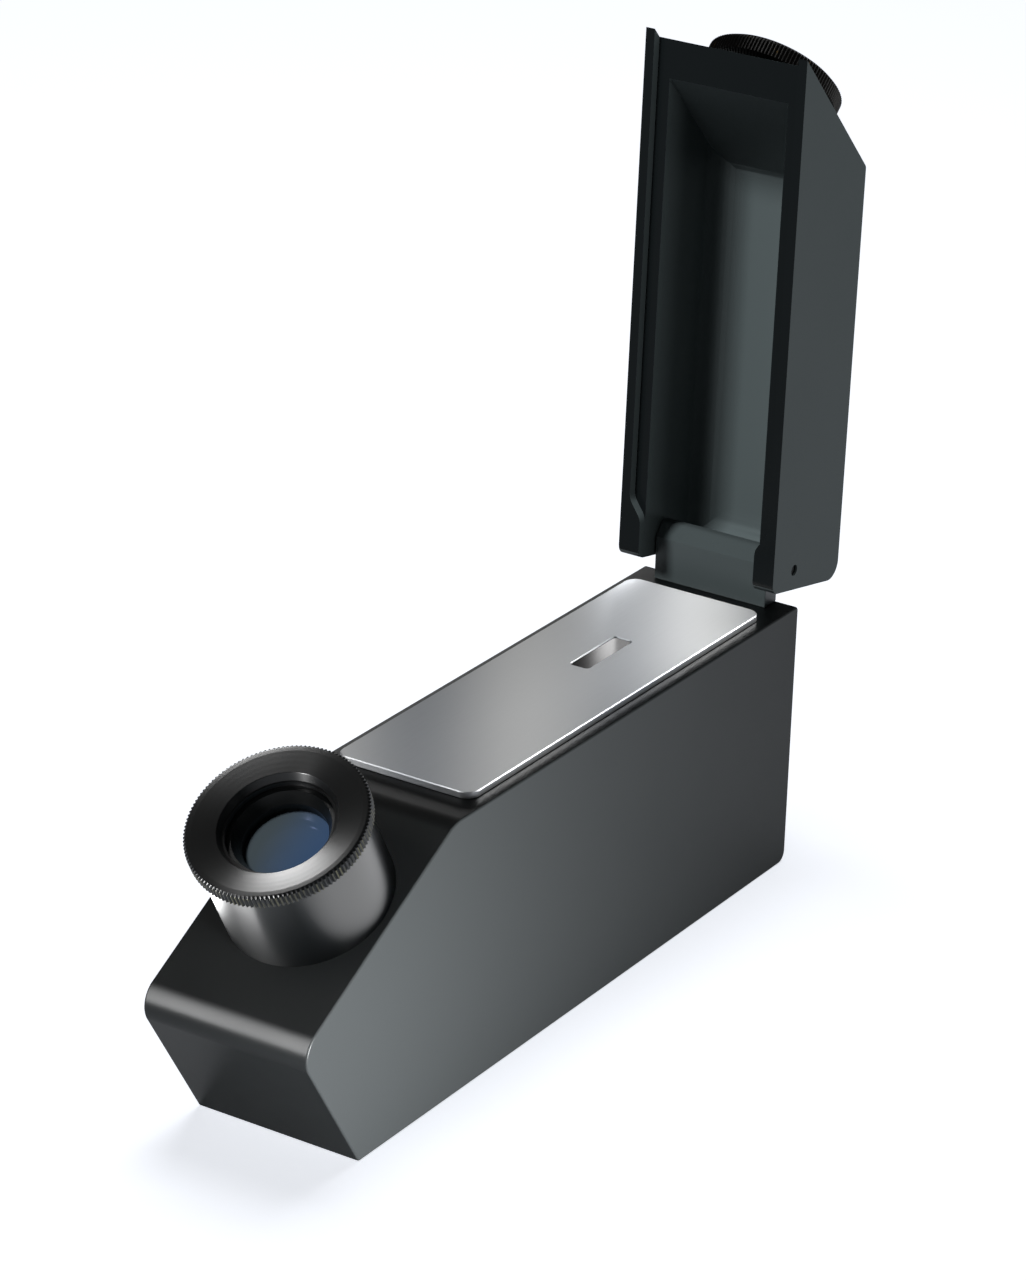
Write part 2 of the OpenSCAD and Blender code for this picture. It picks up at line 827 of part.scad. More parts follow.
module filter_glass() {
    color([0.3, 0.32, 0.28, 0.7])
        opened()
            on_slant()
                translate([0, 0, filter_h - wall / 2 - glass_t])
                    cylinder(h = glass_t, r = glass_r);
}

module eyepiece_barrel() {
    color([0.16, 0.17, 0.17])
        on_slope()
            difference() {
                union() {
                    cylinder(h = barrel_h, r = barrel_r);
                    translate([0, 0, guide_foot])
                        cylinder(h = barrel_h - guide_foot, r = spigot_r);
                }
                translate([0, 0, guide_foot - over])
                    cylinder(h = barrel_h - guide_foot + 2 * over, r = tube_r + run_gap);
                translate([0, 0, sleeve_foot - move_gap])
                    cylinder(h = barrel_h, r = sleeve_r + run_gap);
            }
}

module barrel_nut() {
    color([0.3, 0.3, 0.3])
        on_slope()
            ring(spigot_r + wall / 2, spigot_r + seat_gap, -wall - nut_t, -wall);
}

// The tube that carries the lenses; it slides in the barrel without turning
module focus_tube() {
    color([0.12, 0.12, 0.12])
        on_slope()
            difference() {
                translate([0, 0, tube_foot])
                    cylinder(h = tube_top - tube_foot, r = tube_r);
                translate([0, 0, tube_foot - over])
                    cylinder(h = tube_l + 2 * over, r = aperture_r);
                translate([0, 0, lens_seat_z])
                    cylinder(h = tube_l, r = lens_r + seat_gap);
                translate([0, 0, lens_edge_z])
                    cylinder(h = tube_l, r = lens_r + tube_wall / 3);
                translate([0, 0, tube_foot - over])
                    cylinder(h = over + lens_edge, r = lens_r + seat_gap);
            }
}

// The knurled ring, its dished face and the threaded sleeve that lifts the tube
module focus_ring() {
    color([0.1, 0.1, 0.11])
        on_slope()
            difference() {
                union() {
                    knurled_band(ring_r, ring_teeth, ring_foot, ring_top, knurl_depth);
                    translate([0, 0, sleeve_foot])
                        cylinder(h = sleeve_l + over, r = sleeve_r);
                }
                translate([0, 0, sleeve_foot - over])
                    cylinder(h = tube_top + move_gap - sleeve_foot + over, r = tube_r + run_gap);
                cylinder(h = ring_top + over, r = mouth_r - ring_cone / 2);
                translate([0, 0, ring_top - ring_dish - ring_cone])
                    cylinder(h = ring_cone + over / 10, r1 = mouth_r - ring_cone / 2, r2 = mouth_r);
                translate([0, 0, ring_top - ring_dish])
                    cylinder(h = ring_dish, r1 = mouth_r, r2 = ring_r - 4 * knurl_depth);
                translate([0, 0, ring_top])
                    cylinder(h = over, r = ring_r);
            }
}

module eye_lens() {
    color([0.2, 0.28, 0.45, 0.7])
        on_slope()
            translate([0, 0, lens_seat_z + lens_rise])
                lens(lens_r, lens_edge);
}

// The ring that holds the eye lens down, with a cone inside it
module lens_ring() {
    foot = lens_edge_z + lens_rise;
    outer = lens_r + tube_wall / 3 - seat_gap;
    color([0.35, 0.36, 0.36])
        on_slope()
            rotate_extrude()
                polygon([
                    [aperture_r, foot],
                    [outer, foot],
                    [outer, lens_ring_top],
                    [lens_r, lens_ring_top],
                    [aperture_r, between(foot, lens_ring_top, lens_cone_share)]
                ]);
}

module field_lens() {
    color([0.7, 0.75, 0.78, 0.5])
        on_slope()
            translate([0, 0, tube_foot + seat_gap])
                cylinder(h = lens_edge - seat_gap, r = lens_r);
}

module scale_holder() {
    color([0.25, 0.25, 0.25])
        on_slope()
            difference() {
                translate([0, 0, guide_foot - 2 * scale_t])
                    cylinder(h = 4 * scale_t, r = spigot_r + wall / 2);
                translate([0, 0, guide_foot - scale_t])
                    cylinder(h = 4 * scale_t, r = spigot_r + seat_gap);
                translate([0, 0, guide_foot - 3 * scale_t])
                    cylinder(h = 4 * scale_t, r = aperture_r);
            }
}

module scale_glass() {
    color([0.8, 0.85, 0.85, 0.5])
        on_slope()
            translate([0, 0, guide_foot - scale_t])
                cylinder(h = scale_t, r = spigot_r - seat_gap);
}

// Places its children on the mirror's face, with z = 0 on it
module on_mirror() {
    translate([0, mirror_y, mirror_z])
        rotate([-mirror_a, 0, 0])
            children();
}

module fold_mirror() {
    color([0.85, 0.87, 0.88])
        on_mirror()
            translate([-mirror_w / 2, -mirror_l / 2, -mirror_t])
                cube([mirror_w, mirror_l, mirror_t]);
}

// Height of the mirror's underside above the base at the place y
function bracket_top(y) = mirror_z - mirror_t / cos(mirror_a) - (y - mirror_y) * tan(mirror_a);

module mirror_bracket() {
    from = mirror_y - bracket_l / 2;
    to = mirror_y + bracket_l / 2;
    floor_z = base_t + wall;
    color([0.2, 0.2, 0.2])
        difference() {
            across(bracket_w)
                polygon([[from, base_t], [from, bracket_top(from)], [to, bracket_top(to)], [to, base_t]]);
            across(bracket_w - 2 * wall)
                polygon([
                    [from - over, floor_z],
                    [from - over, bracket_top(from - over) - wall],
                    [to - wall, bracket_top(to - wall) - wall],
                    [to - wall, floor_z]
                ]);
            at_mirror_screws()
                translate([0, 0, base_t - over])
                    cylinder(h = wall + 2 * over, r = base_screw_d / 2 + seat_gap);
        }
}

module mirror_screws() {
    color([0.55, 0.56, 0.57])
        at_mirror_screws()
            mirror([0, 0, 1])
                screw(base_screw_d, base_t + wall - base_screw_d / 2, base_screw_d / 2);
}

module objective_holder() {
    under = body_h - wall;
    color([0.2, 0.2, 0.2])
        difference() {
            union() {
                translate([-holder_w / 2, objective_y - holder_t / 2, objective_z])
                    cube([holder_w, holder_t, under - objective_z]);
                translate([-inner_w / 2, objective_y - holder_t / 2, under - yoke_t])
                    cube([inner_w, holder_t, yoke_t]);
                on_beam()
                    cylinder(h = holder_t, r = holder_w / 2, center = true);
            }
            on_beam()
                cylinder(h = 2 * objective_l, r = objective_r + seat_gap, center = true);
            translate([-holder_w, objective_y - holder_t, under])
                cube([2 * holder_w, 2 * holder_t, wall]);
        }
}

// Places its children at both ends of the objective, with z = 0 at its middle
module at_both_ends() {
    for (end = [0, 1])
        mirror([0, 0, end])
            children();
}

module objective_tube() {
    color([0.15, 0.15, 0.15])
        on_beam()
            difference() {
                cylinder(h = objective_l, r = objective_r, center = true);
                cylinder(h = 2 * objective_l, r = objective_aperture_r, center = true);
                at_both_ends()
                    translate([0, 0, objective_seat])
                        cylinder(h = objective_l, r = objective_lens_r + seat_gap);
            }
}

module objective_lenses() {
    color([0.7, 0.75, 0.78, 0.5])
        on_beam()
            at_both_ends()
                translate([0, 0, objective_seat + objective_rise])
                    lens(objective_lens_r, lens_edge);
}

// Places its children on the light port's axis, with z = 0 on the rear wall's outer face
module on_port() {
    translate([0, rear, port_h])
        rotate([-90, 0, 0])
            children();
}

module light_bezel() {
    color([0.13, 0.13, 0.13])
        on_port()
            difference() {
                union() {
                    cylinder(h = bezel_t, r = bezel_r);
                    translate([0, 0, port_foot])
                        cylinder(h = bezel_t - port_foot, r = port_r);
                }
                translate([0, 0, port_foot - over])
                    cylinder(h = bezel_t - port_foot + 2 * over, r = lamp_r);
                translate([0, 0, port_foot - over])
                    cylinder(h = light_glass_t + over, r = light_glass_r + seat_gap);
            }
}

module light_glass() {
    color([0.85, 0.7, 0.3, 0.6])
        on_port()
            translate([0, 0, port_foot])
                cylinder(h = light_glass_t, r = light_glass_r);
}

housing();
base_plate();
base_screws();
stage_plate();
prism();
prism_carrier();
carrier_screws();
hinge_block();
block_screws();
hinge_pin();
lid();
parking_boss();
filter_sleeve();
filter_ring();
filter_glass();
eyepiece_barrel();
barrel_nut();
focus_tube();
focus_ring();
eye_lens();
lens_ring();
field_lens();
scale_holder();
scale_glass();
fold_mirror();
mirror_bracket();
mirror_screws();
objective_holder();
objective_tube();
objective_lenses();
light_bezel();
light_glass();
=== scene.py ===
"""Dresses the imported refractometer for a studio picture: finishes, smooth shapes, light and camera."""

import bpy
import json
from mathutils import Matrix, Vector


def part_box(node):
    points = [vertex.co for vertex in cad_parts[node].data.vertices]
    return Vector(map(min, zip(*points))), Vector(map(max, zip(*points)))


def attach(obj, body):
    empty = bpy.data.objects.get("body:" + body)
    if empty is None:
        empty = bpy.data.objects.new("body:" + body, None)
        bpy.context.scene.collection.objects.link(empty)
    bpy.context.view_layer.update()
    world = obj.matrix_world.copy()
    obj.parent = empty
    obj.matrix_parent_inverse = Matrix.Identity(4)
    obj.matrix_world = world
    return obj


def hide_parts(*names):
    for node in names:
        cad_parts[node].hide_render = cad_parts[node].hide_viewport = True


bl_info = {
    "name": "Gem refractometer",
    "version": (1, 0, 0),
    "blender": (4, 5, 0),
    "location": "3D View > Sidebar > Refractometer",
    "description": "Builds the visible pieces and finishes of a bench refractometer",
    "category": "Object",
}

import json
import math

import bmesh
import bpy
from bpy.props import FloatProperty, FloatVectorProperty, IntProperty, PointerProperty
from bpy.types import Operator, Panel, PropertyGroup
from mathutils import Matrix, Vector

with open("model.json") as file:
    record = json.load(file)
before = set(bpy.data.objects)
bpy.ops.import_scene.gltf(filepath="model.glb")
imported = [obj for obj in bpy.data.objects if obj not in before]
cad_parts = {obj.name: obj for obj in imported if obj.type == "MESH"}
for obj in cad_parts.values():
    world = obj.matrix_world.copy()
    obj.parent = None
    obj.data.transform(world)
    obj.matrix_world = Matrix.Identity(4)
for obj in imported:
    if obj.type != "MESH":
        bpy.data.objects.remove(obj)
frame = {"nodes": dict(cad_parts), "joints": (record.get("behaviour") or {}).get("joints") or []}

MM = 0.001
# How far the slot's cutter reaches past the plate
OVERCUT = 1 * MM
JOINTS = {joint["name"]: joint for joint in frame["joints"]}
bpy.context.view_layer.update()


def length(name, millimetres, description):
    """A size that the user may change, given in millimetres and kept in metres."""
    return FloatProperty(name=name, description=description, default=millimetres * MM, min=0.0,
                         unit="LENGTH", precision=5)


def angle(name, degrees, description):
    """An angle that the user may change."""
    return FloatProperty(name=name, description=description, default=math.radians(degrees), unit="ROTATION")


def share(name, value, description):
    """A share of a whole that the user may change."""
    return FloatProperty(name=name, description=description, default=value, min=0.0, max=1.0,
                         subtype="FACTOR")


def linear(hex_colour):
    """An sRGB hex colour as linear red, green, blue and alpha."""
    parts = [int(hex_colour[i:i + 2], 16) / 255 for i in (1, 3, 5)]
    return [c / 12.92 if c <= 0.04045 else ((c + 0.055) / 1.055) ** 2.4 for c in parts] + [1.0]


def colour(name, hex_colour, description):
    """A colour that the user may change."""
    return FloatVectorProperty(name=name, description=description, default=linear(hex_colour), size=4,
                               min=0.0, max=1.0, subtype="COLOR")


class HousingSizes(PropertyGroup):
    """Sizes of the housing and of the stage on it."""
    underside: length("Underside", 141, "Length of the flat underside, front edge to rear wall")
    nose_out: length("Nose overhang", 17.5, "How far the nose overhangs the underside's front edge")
    nose_height: length("Nose height", 27, "Height of the nose above the underside")
    crease_in: length("Crease", 27, "Distance from the underside's front edge back to the crease")
    nose_radius: length("Nose radius", 4.6, "Radius of the nose")
    crease_radius: length("Crease radius", 8, "Radius of the crease between slope and top")
    rear_radius: length("Rear radius", 0.8, "Radius of the upper rear edge")
    foot_radius: length("Foot radius", 0.8, "Radius of the underside's front edge")
    rear_foot_radius: length("Rear foot radius", 2.2, "Radius of the lower rear edge")
    edge_bevel: length("Edge bevel", 0.4, "Bevel along the edges of the side walls")
    mouth_margin: length("Mouth margin", 0.15, "Play between the base plate and the mouth that takes it")
    plate_corner: length("Plate corner", 2.6, "Radius of the stage plate's corners")
    plate_bevel: length("Plate bevel", 0.5, "Bevel round the stage plate's upper edge")
    slot_length: length("Slot length", 15.2, "Length of the prism slot in the stage plate")
    slot_width: length("Slot width", 3.8, "Width of the prism slot")
    slot_corner: length("Slot corner", 0.7, "Radius of the slot's corners")
    # Pitch and turn of the painted reflection bands on the stage plate
    reflection_band_pitch: length("Band pitch", 37, "Distance between two bright bands on the stage plate")
    reflection_band_turn: angle("Band turn", 33, "Direction across those bands, turned from the plate's width")


class LidSizes(PropertyGroup):
    """Sizes of the lid, measured on the closed lid, and of the hinge block."""
    depth: length("Depth", 24.5, "Depth of the closed lid, mouth to roof")
    front_in: length("Front", 13.5, "Distance from the crease back to the closed lid's front edge")
    gap: length("Gap", 0.3, "Gap between the closed lid's rim and the housing's top")
    slant: angle("Slant", 44.5, "Slant of the lid's front face")
    lean: angle("Lean", 10, "Lean of the lid's rear wall")
    opened: angle("Opened", 91.3, "Angle from closed to fully open")
    wall: length("Wall", 4.3, "Thickness of the side walls")
    roof: length("Roof", 2, "Thickness of the roof")
    rear_wall: length("Rear wall", 1.7, "Thickness of the rear wall")
    front_wall: length("Front wall", 5, "Thickness of the slanted front wall")
    rim_width: length("Rim width", 1.8, "Width of the proud rim along the side walls")
    rim_height: length("Rim height", 1.8, "Height of that rim")
    front_radius: length("Front radius", 1.2, "Radius where slant meets roof")
    rear_radius: length("Rear radius", 3.2, "Radius of the upper rear edge")
    foot_radius: length("Foot radius", 2.2, "Radius of the lower rear edge, by the hinge")
    pocket_radius: length("Pocket radius", 6, "Radius of the pocket's inner corners")
    edge_bevel: length("Edge bevel", 0.3, "Bevel along the lid's edges")
    notch_gap: length("Notch gap", 0.3, "Play between the lid's notch and the hinge block")
    stop_gap: length("Stop gap", 0.18, "Play between the open lid's end and the hinge block")
    pin_hole: length("Pin hole", 1.05, "Radius of the hole for the hinge pin")
    block_front: length("Block front", 8.4, "Height of the hinge block's front face")
    block_corner: length("Block corner", 0.3, "Radius above the block's front face")
    block_bevel: length("Block bevel", 0.2, "Bevel along the block's edges")
    crest_front: share("Crest front", 0.3, "Radius at the crest's front, as a share of the block's depth")
    crest_rear: share("Crest rear", 0.2, "Radius at the crest's rear, as a share of the block's depth")


class EyepieceSizes(PropertyGroup):
    """Sizes of the eyepiece, measured outward from the slope along its axis."""
    barrel_radius: length("Barrel radius", 14.9, "Radius of the barrel")
    barrel_height: length("Barrel height", 16.8, "Height of the barrel above the slope")
    bore: length("Bore", 11.25, "Radius of the bore through barrel and ring")
    spigot_radius: length("Spigot radius", 12.6, "Radius of the barrel's end inside the housing")
    spigot_length: length("Spigot length", 13.8, "Length of the barrel's end inside the housing")
    ring_radius: length("Ring radius", 16, "Radius of the knurled focus ring")
    ring_height: length("Ring height", 2.8, "Thickness of the focus ring")
    ring_gap: length("Ring gap", 0.3, "Gap between the barrel and the focus ring")
    sleeve_radius: length("Sleeve radius", 13.4, "Radius of the focus ring's sleeve inside the barrel")
    sleeve_length: length("Sleeve length", 8, "Length of that sleeve")
    clearance: length("Clearance", 0.05, "Running clearance round the sleeve")
    edge_radius: length("Edge radius", 0.35, "Radius of the turned edges")
    dish: length("Dish", 0.5, "Depth of the dish in the ring's face")
    mouth_radius: length("Mouth radius", 10.4, "Radius of the opening in the ring's face")
    cone_height: length("Cone height", 2.1, "Height of the cone below the ring's mouth")
    teeth: IntProperty(name="Teeth", description="Number of teeth in the knurl", default=128, min=8)
    knurl_depth: length("Knurl depth", 0.35, "Depth of the knurl")
    knurl_slant: FloatProperty(name="Knurl slant", default=25.0,
                               description="Turn of the teeth, in radians for a metre of height")
    lens_radius: length("Lens radius", 8.6, "Radius of the eye lens")
    lens_depth: length("Lens depth", 7.4, "Depth of the lens's edge below the ring's face")
    lens_edge: length("Lens edge", 1.4, "Thickness of the lens at its edge")
    lens_curve: length("Lens curve", 22, "Radius of curvature of the lens")


class FilterSizes(PropertyGroup):
    """Sizes of the polarising filter, measured outward from the lid's slanted front."""
    radius: length("Radius", 13, "Radius of the knurled ring")
    height: length("Height", 7, "Height of the ring's face")
    gap: length("Gap", 0.3, "Gap below the sleeve, and between its shoulder and the ring")
    bore: length("Bore", 8.45, "Radius of the sleeve's bore, which slips over the boss")
    neck_radius: length("Neck radius", 11.4, "Radius of the sleeve's neck")
    neck_height: length("Neck height", 2.6, "Height of the neck's shoulder")
    hub_radius: length("Hub radius", 10, "Radius of the hub on which the ring turns")
    hub_height: length("Hub height", 4.6, "Height of that hub")
    clearance: length("Clearance", 0.05, "Running clearance round the hub")
    edge_radius: length("Edge radius", 0.25, "Radius of the turned edges")
    glass_low: length("Glass underside", 4.8, "Height of the polarising glass's underside")
    glass_top: length("Glass top", 5.8, "Height of its upper side")
    glass_radius: length("Glass seat", 9.42, "Radius of its seat in the ring")
    glass_play: length("Glass play", 0.1, "How far the ring's ledge stands above the glass's underside")
    clear_radius: length("Clear radius", 7.2, "Radius of the opening in the ring's face")
    mouth_bevel: length("Mouth bevel", 0.6, "Bevel round that opening")
    teeth: IntProperty(name="Teeth", description="Number of teeth in the knurl", default=120, min=8)
    knurl_depth: length("Knurl depth", 0.35, "Depth of the knurl")


class Finishes(PropertyGroup):
    """Colours and wear of the finishes."""
    black: colour("Anodised black", "#373a3b", "Black anodised aluminium, bead-blasted")
    deep_black: colour("Deep black", "#060707", "Matt black of inner surfaces")
    milled_black: colour("Milled black", "#0b0e0f", "Black anodised aluminium, milled bright")
    turned_black: colour("Turned black", "#15191a", "Black anodised aluminium, turned bright")
    lens_ring: colour("Lens ring", "#1d2020", "Black anodised cone round the eye lens")
    hinge_grey: colour("Hinge grey", "#3c4344", "Dark grey anodising of hinge block and lid")
    # The brighter and duller steel colours are the two ends of the painted reflection bands on the stage
    # plate
    steel: colour("Steel", "#d6d7d7", "Satin stainless steel, brighter bands")
    dull_steel: colour("Dull steel", "#a3a6aa", "Satin stainless steel, duller bands")
    screw_steel: colour("Screw steel", "#a9abae", "Bare turned steel of inner screws")
    dark_screw: colour("Dark screws", "#2c2e30", "Blackened steel of base and mirror screws")
    dark_pin: colour("Dark pin", "#26282a", "Blackened steel of the hinge pin")
    lacquer: colour("Lacquer", "#0b0a08", "Black lacquer over brass")
    brass: colour("Brass", "#b08d4a", "Brass where the lacquer is worn off")
    worn_metal: colour("Worn metal", "#6f6d58", "Bare metal on the rubbed teeth of the focus ring")
    ring_wear: share("Ring wear", 0.26, "How much of the focus ring's teeth is rubbed bare")
    neck_wear: share("Neck wear", 0.0, "How much of the filter's neck is rubbed bare")
    knurl_wear: share("Knurl wear", 0.04, "How much of the filter's teeth is rubbed bare")
    prism_dark: colour("Prism dark", "#1c100d", "Darkest brown inside the prism")
    prism_pale: colour("Prism pale", "#3a2a28", "Palest brown inside the prism")
    # Painted light: the lens's grey and blue are the two ends of a gradient that stands for the tube behind
    # lit from one side
    painted_lens_grey: colour("Lens grey", "#363c3a", "Tint of the eye lens on its left")
    painted_lens_blue: colour("Lens blue", "#33465a", "Tint of the eye lens on its right")
    lens_gleam: colour("Lens gleam", "#9db8ff", "Tint of the eye lens's reflections")
    lens_coat: colour("Lens coat", "#9fb8ff", "Tint of the eye lens's coating")
    crown_glass: colour("Crown glass", "#eef4f6", "Clear glass inside")
    polariser: colour("Polariser", "#55584f", "Smoky glass of the polarising filter")
    amber: colour("Amber", "#d99a2b", "Amber glass of the light port")
    silver: colour("Silver", "#e8e9ea", "Silvering of the fold mirror")
    floor: colour("Floor", "#eef1f7", "Pale floor")


class StudioSizes(PropertyGroup):
    """Camera, floor and light of the studio."""
    camera_place: FloatVectorProperty(name="Camera place", description="Where the camera stands", size=3,
                                      unit="LENGTH", default=(417.8 * MM, -664.5 * MM, 408.1 * MM))
    camera_turn: FloatVectorProperty(name="Camera turn", description="How the camera is turned", size=3,
                                     subtype="EULER",
                                     default=[math.radians(a) for a in (66.414, -1.660, 32.944)])
    sensor: FloatProperty(name="Sensor", description="Width of the sensor", default=36.0, unit="CAMERA")
    lens: FloatProperty(name="Lens", description="Focal length", default=138.8, unit="CAMERA")
    floor_reach: length("Floor reach", 6000, "Distance from the middle to each edge of the floor")
    floor_thickness: length("Floor thickness", 20, "Thickness of the floor")
    floor_glow: FloatProperty(name="Floor glow", description="Light given off by the floor", default=0.84)
    light: FloatProperty(name="Light", description="Strength of all lights together", default=1.0)


class Refractometer(PropertyGroup):
    """All values of the refractometer's looks."""
    housing: PointerProperty(type=HousingSizes)
    lid: PointerProperty(type=LidSizes)
    eyepiece: PointerProperty(type=EyepieceSizes)
    filter: PointerProperty(type=FilterSizes)
    finishes: PointerProperty(type=Finishes)
    studio: PointerProperty(type=StudioSizes)


def values():
    """The values that the operators work from."""
    return bpy.context.scene.refractometer


# Outlines

def corner_arc(before, corner, after, radius, step):
    """The points that round a corner between its neighbours, with a step in degrees."""
    if radius <= 0:
        return [corner.copy()]
    u = (before - corner).normalized()
    v = (after - corner).normalized()
    half = u.angle(v) / 2
    middle = corner + (u + v).normalized() * radius / math.sin(half)
    p = corner + u * radius / math.tan(half) - middle
    q = corner + v * radius / math.tan(half) - middle
    turn = math.pi - 2 * half
    steps = max(2, math.ceil(math.degrees(turn) / step))
    return [middle + (p * math.sin(turn * (1 - i / steps)) + q * math.sin(turn * i / steps)) / math.sin(turn)
            for i in range(steps + 1)]


def rounded(corners, step=4):
    """A closed outline of (across, up, radius) corners, as points with each corner rounded."""
    at = [Vector(c[:2]) for c in corners]
    points = []
    for i, c in enumerate(corners):
        points += corner_arc(at[i - 1], at[i], at[(i + 1) % len(at)], c[2], step)
    return points


def rectangle(low, high, radius=0):
    """Corners of a rectangle with equal radii."""
    return [(low[0], low[1], radius), (high[0], low[1], radius),
            (high[0], high[1], radius), (low[0], high[1], radius)]


# Meshes

def new_object(name, mesh):
    """A new object for a bmesh, linked to the scene."""
    data = bpy.data.meshes.new(name)
    bmesh.ops.recalc_face_normals(mesh, faces=mesh.faces)
    mesh.to_mesh(data)
    mesh.free()
    obj = bpy.data.objects.new(name, data)
    bpy.context.scene.collection.objects.link(obj)
    return obj


def slab(name, outline, low, high, axis="X"):
    """A closed outline extruded from low to high: it lies in YZ for axis X, in XZ for Y and in XY for Z."""
    def place(p, along):
        return {"X": (along, p[0], p[1]), "Y": (p[0], along, p[1]), "Z": (p[0], p[1], along)}[axis]
    mesh = bmesh.new()
    ends = [[mesh.verts.new(place(p, along)) for p in outline] for along in (low, high)]
    for end in ends:
        mesh.faces.new(end)
    for i in range(len(outline)):
        j = (i + 1) % len(outline)
        mesh.faces.new((ends[0][i], ends[0][j], ends[1][j], ends[1][i]))
    return new_object(name, mesh)


def lathe(name, outline, place, segments=192, groove=None):
    """A closed outline of (radius, height) points turned about the local Z axis and put in its place."""
    mesh = bmesh.new()
    rings = []
    for radius, height in outline:
        if radius < 1e-7:
            rings.append([mesh.verts.new((0, 0, height))] * segments)
            continue
        ring = []
        for i in range(segments):
            turn = 2 * math.pi * i / segments
            r = min(radius, groove(turn, height)) if groove else radius
            ring.append(mesh.verts.new((r * math.cos(turn), r * math.sin(turn), height)))
        rings.append(ring)
    for k, ring in enumerate(rings):
        following = rings[(k + 1) % len(rings)]
        for i in range(segments):
            j = (i + 1) % segments
            verts = []
            for vert in (ring[i], ring[j], following[j], following[i]):
                if vert not in verts:
                    verts.append(vert)
            if len(verts) > 2:
                mesh.faces.new(verts)
    obj = new_object(name, mesh)
    obj.matrix_world = place
    return obj


def knurl(radius, depth, teeth, slant=0.0):
    """The radius of a knurled surface at each turn and height, with slant as turn per metre of height."""
    def groove(turn, height):
        wave = 0.5 + 0.5 * math.cos(teeth * (turn + slant * height))
        return radius - depth * (1 - wave ** 0.7)
    return groove


def apply_modifiers(obj):
    """Makes the result of the modifiers the object's own mesh."""
    bpy.context.view_layer.update()
    evaluated = obj.evaluated_get(bpy.context.evaluated_depsgraph_get())
    obj.data = bpy.data.meshes.new_from_object(evaluated)
    obj.modifiers.clear()


def boolean(obj, other, operation):
    """Combines the object with another, which is deleted."""
    modifier = obj.modifiers.new("boolean", "BOOLEAN")
    modifier.operation = operation
    modifier.solver = "EXACT"
    modifier.object = other
    apply_modifiers(obj)
    bpy.data.objects.remove(other)


def cut(obj, *cutters):
    """Takes the cutters away from the object."""
    for cutter in cutters:
        boolean(obj, cutter, "DIFFERENCE")


def bevelled(obj, width, segments=2, limit=30):
    """Bevels the edges that turn by more than the limit, in degrees."""
    modifier = obj.modifiers.new("bevel", "BEVEL")
    modifier.width = width
    modifier.segments = segments
    modifier.limit_method = "ANGLE"
    modifier.angle_limit = math.radians(limit)
    apply_modifiers(obj)


def smoothed(obj, limit=35):
    """Shades curves smooth, and keeps edges that turn by more than the limit, in degrees, sharp."""
    mesh = obj.data
    mesh.shade_smooth()
    mesh.set_sharp_from_angle(angle=math.radians(limit))
    modifier = obj.modifiers.new("normals", "WEIGHTED_NORMAL")
    modifier.keep_sharp = True
    modifier.weight = 100
    apply_modifiers(obj)


def finished(obj, material, body, node):
    """Gives a piece its material and the body it rides on, and hides the node it replaces."""
    obj.data.materials.clear()
    obj.data.materials.append(material)
    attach(obj, body)
    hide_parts(node)


def carried(node, material):
    """Gives a CAD node that keeps its own shape a material."""
    obj = frame["nodes"][node]
    obj.data.materials.clear()
    obj.data.materials.append(material)


def axis_place(joint):
    """The matrix that puts local Z on a joint's axis, with the origin at the joint's place."""
    z = Vector(JOINTS[joint]["axis"]).normalized()
    x = Vector((1, 0, 0))
    y = z.cross(x)
    turn = Matrix((x, y, z)).transposed().to_4x4()
    return Matrix.Translation(JOINTS[joint]["pos_m"]) @ turn


# Materials

def add_node(tree, kind, settings=(), sockets=()):
    """Adds one node with its settings, and sets or links its sockets."""
    node = tree.nodes.new(kind)
    for name, value in dict(settings).items():
        setattr(node, name, value)
    for name, value in dict(sockets).items():
        if isinstance(value, bpy.types.NodeSocket):
            tree.links.new(value, node.inputs[name])
        else:
            node.inputs[name].default_value = value
    return node


def new_material(name, sockets):
    """A material with its tree and its one shader, whose sockets are set."""
    material = bpy.data.materials.new(name)
    material.use_nodes = True
    tree = material.node_tree
    shader = tree.nodes["Principled BSDF"]
    for socket, value in sockets.items():
        shader.inputs[socket].default_value = value
    return material, tree, shader


def place_texture(tree):
    """Object coordinates, in metres, so that patterns keep their real size."""
    return add_node(tree, "ShaderNodeTexCoord").outputs["Object"]


def grain_bump(tree, shader, grain, height):
    """A fine random grain of a real size and height."""
    noise = add_node(tree, "ShaderNodeTexNoise",
                     sockets={"Vector": place_texture(tree), "Scale": 1 / grain, "Detail": 3.0,
                              "Roughness": 0.6})
    bump = add_node(tree, "ShaderNodeBump", sockets={"Height": noise.outputs["Fac"], "Distance": height})
    tree.links.new(bump.outputs["Normal"], shader.inputs["Normal"])


def cloudy_roughness(tree, shader, low, high, size):
    """Roughness that wanders between two values over patches of a real size."""
    noise = add_node(tree, "ShaderNodeTexNoise",
                     sockets={"Vector": place_texture(tree), "Scale": 1 / size, "Detail": 4.0})
    span = add_node(tree, "ShaderNodeMapRange", sockets={"Value": noise.outputs["Fac"], "From Min": 0.3,
                                                         "From Max": 0.7, "To Min": low, "To Max": high})
    tree.links.new(span.outputs["Result"], shader.inputs["Roughness"])


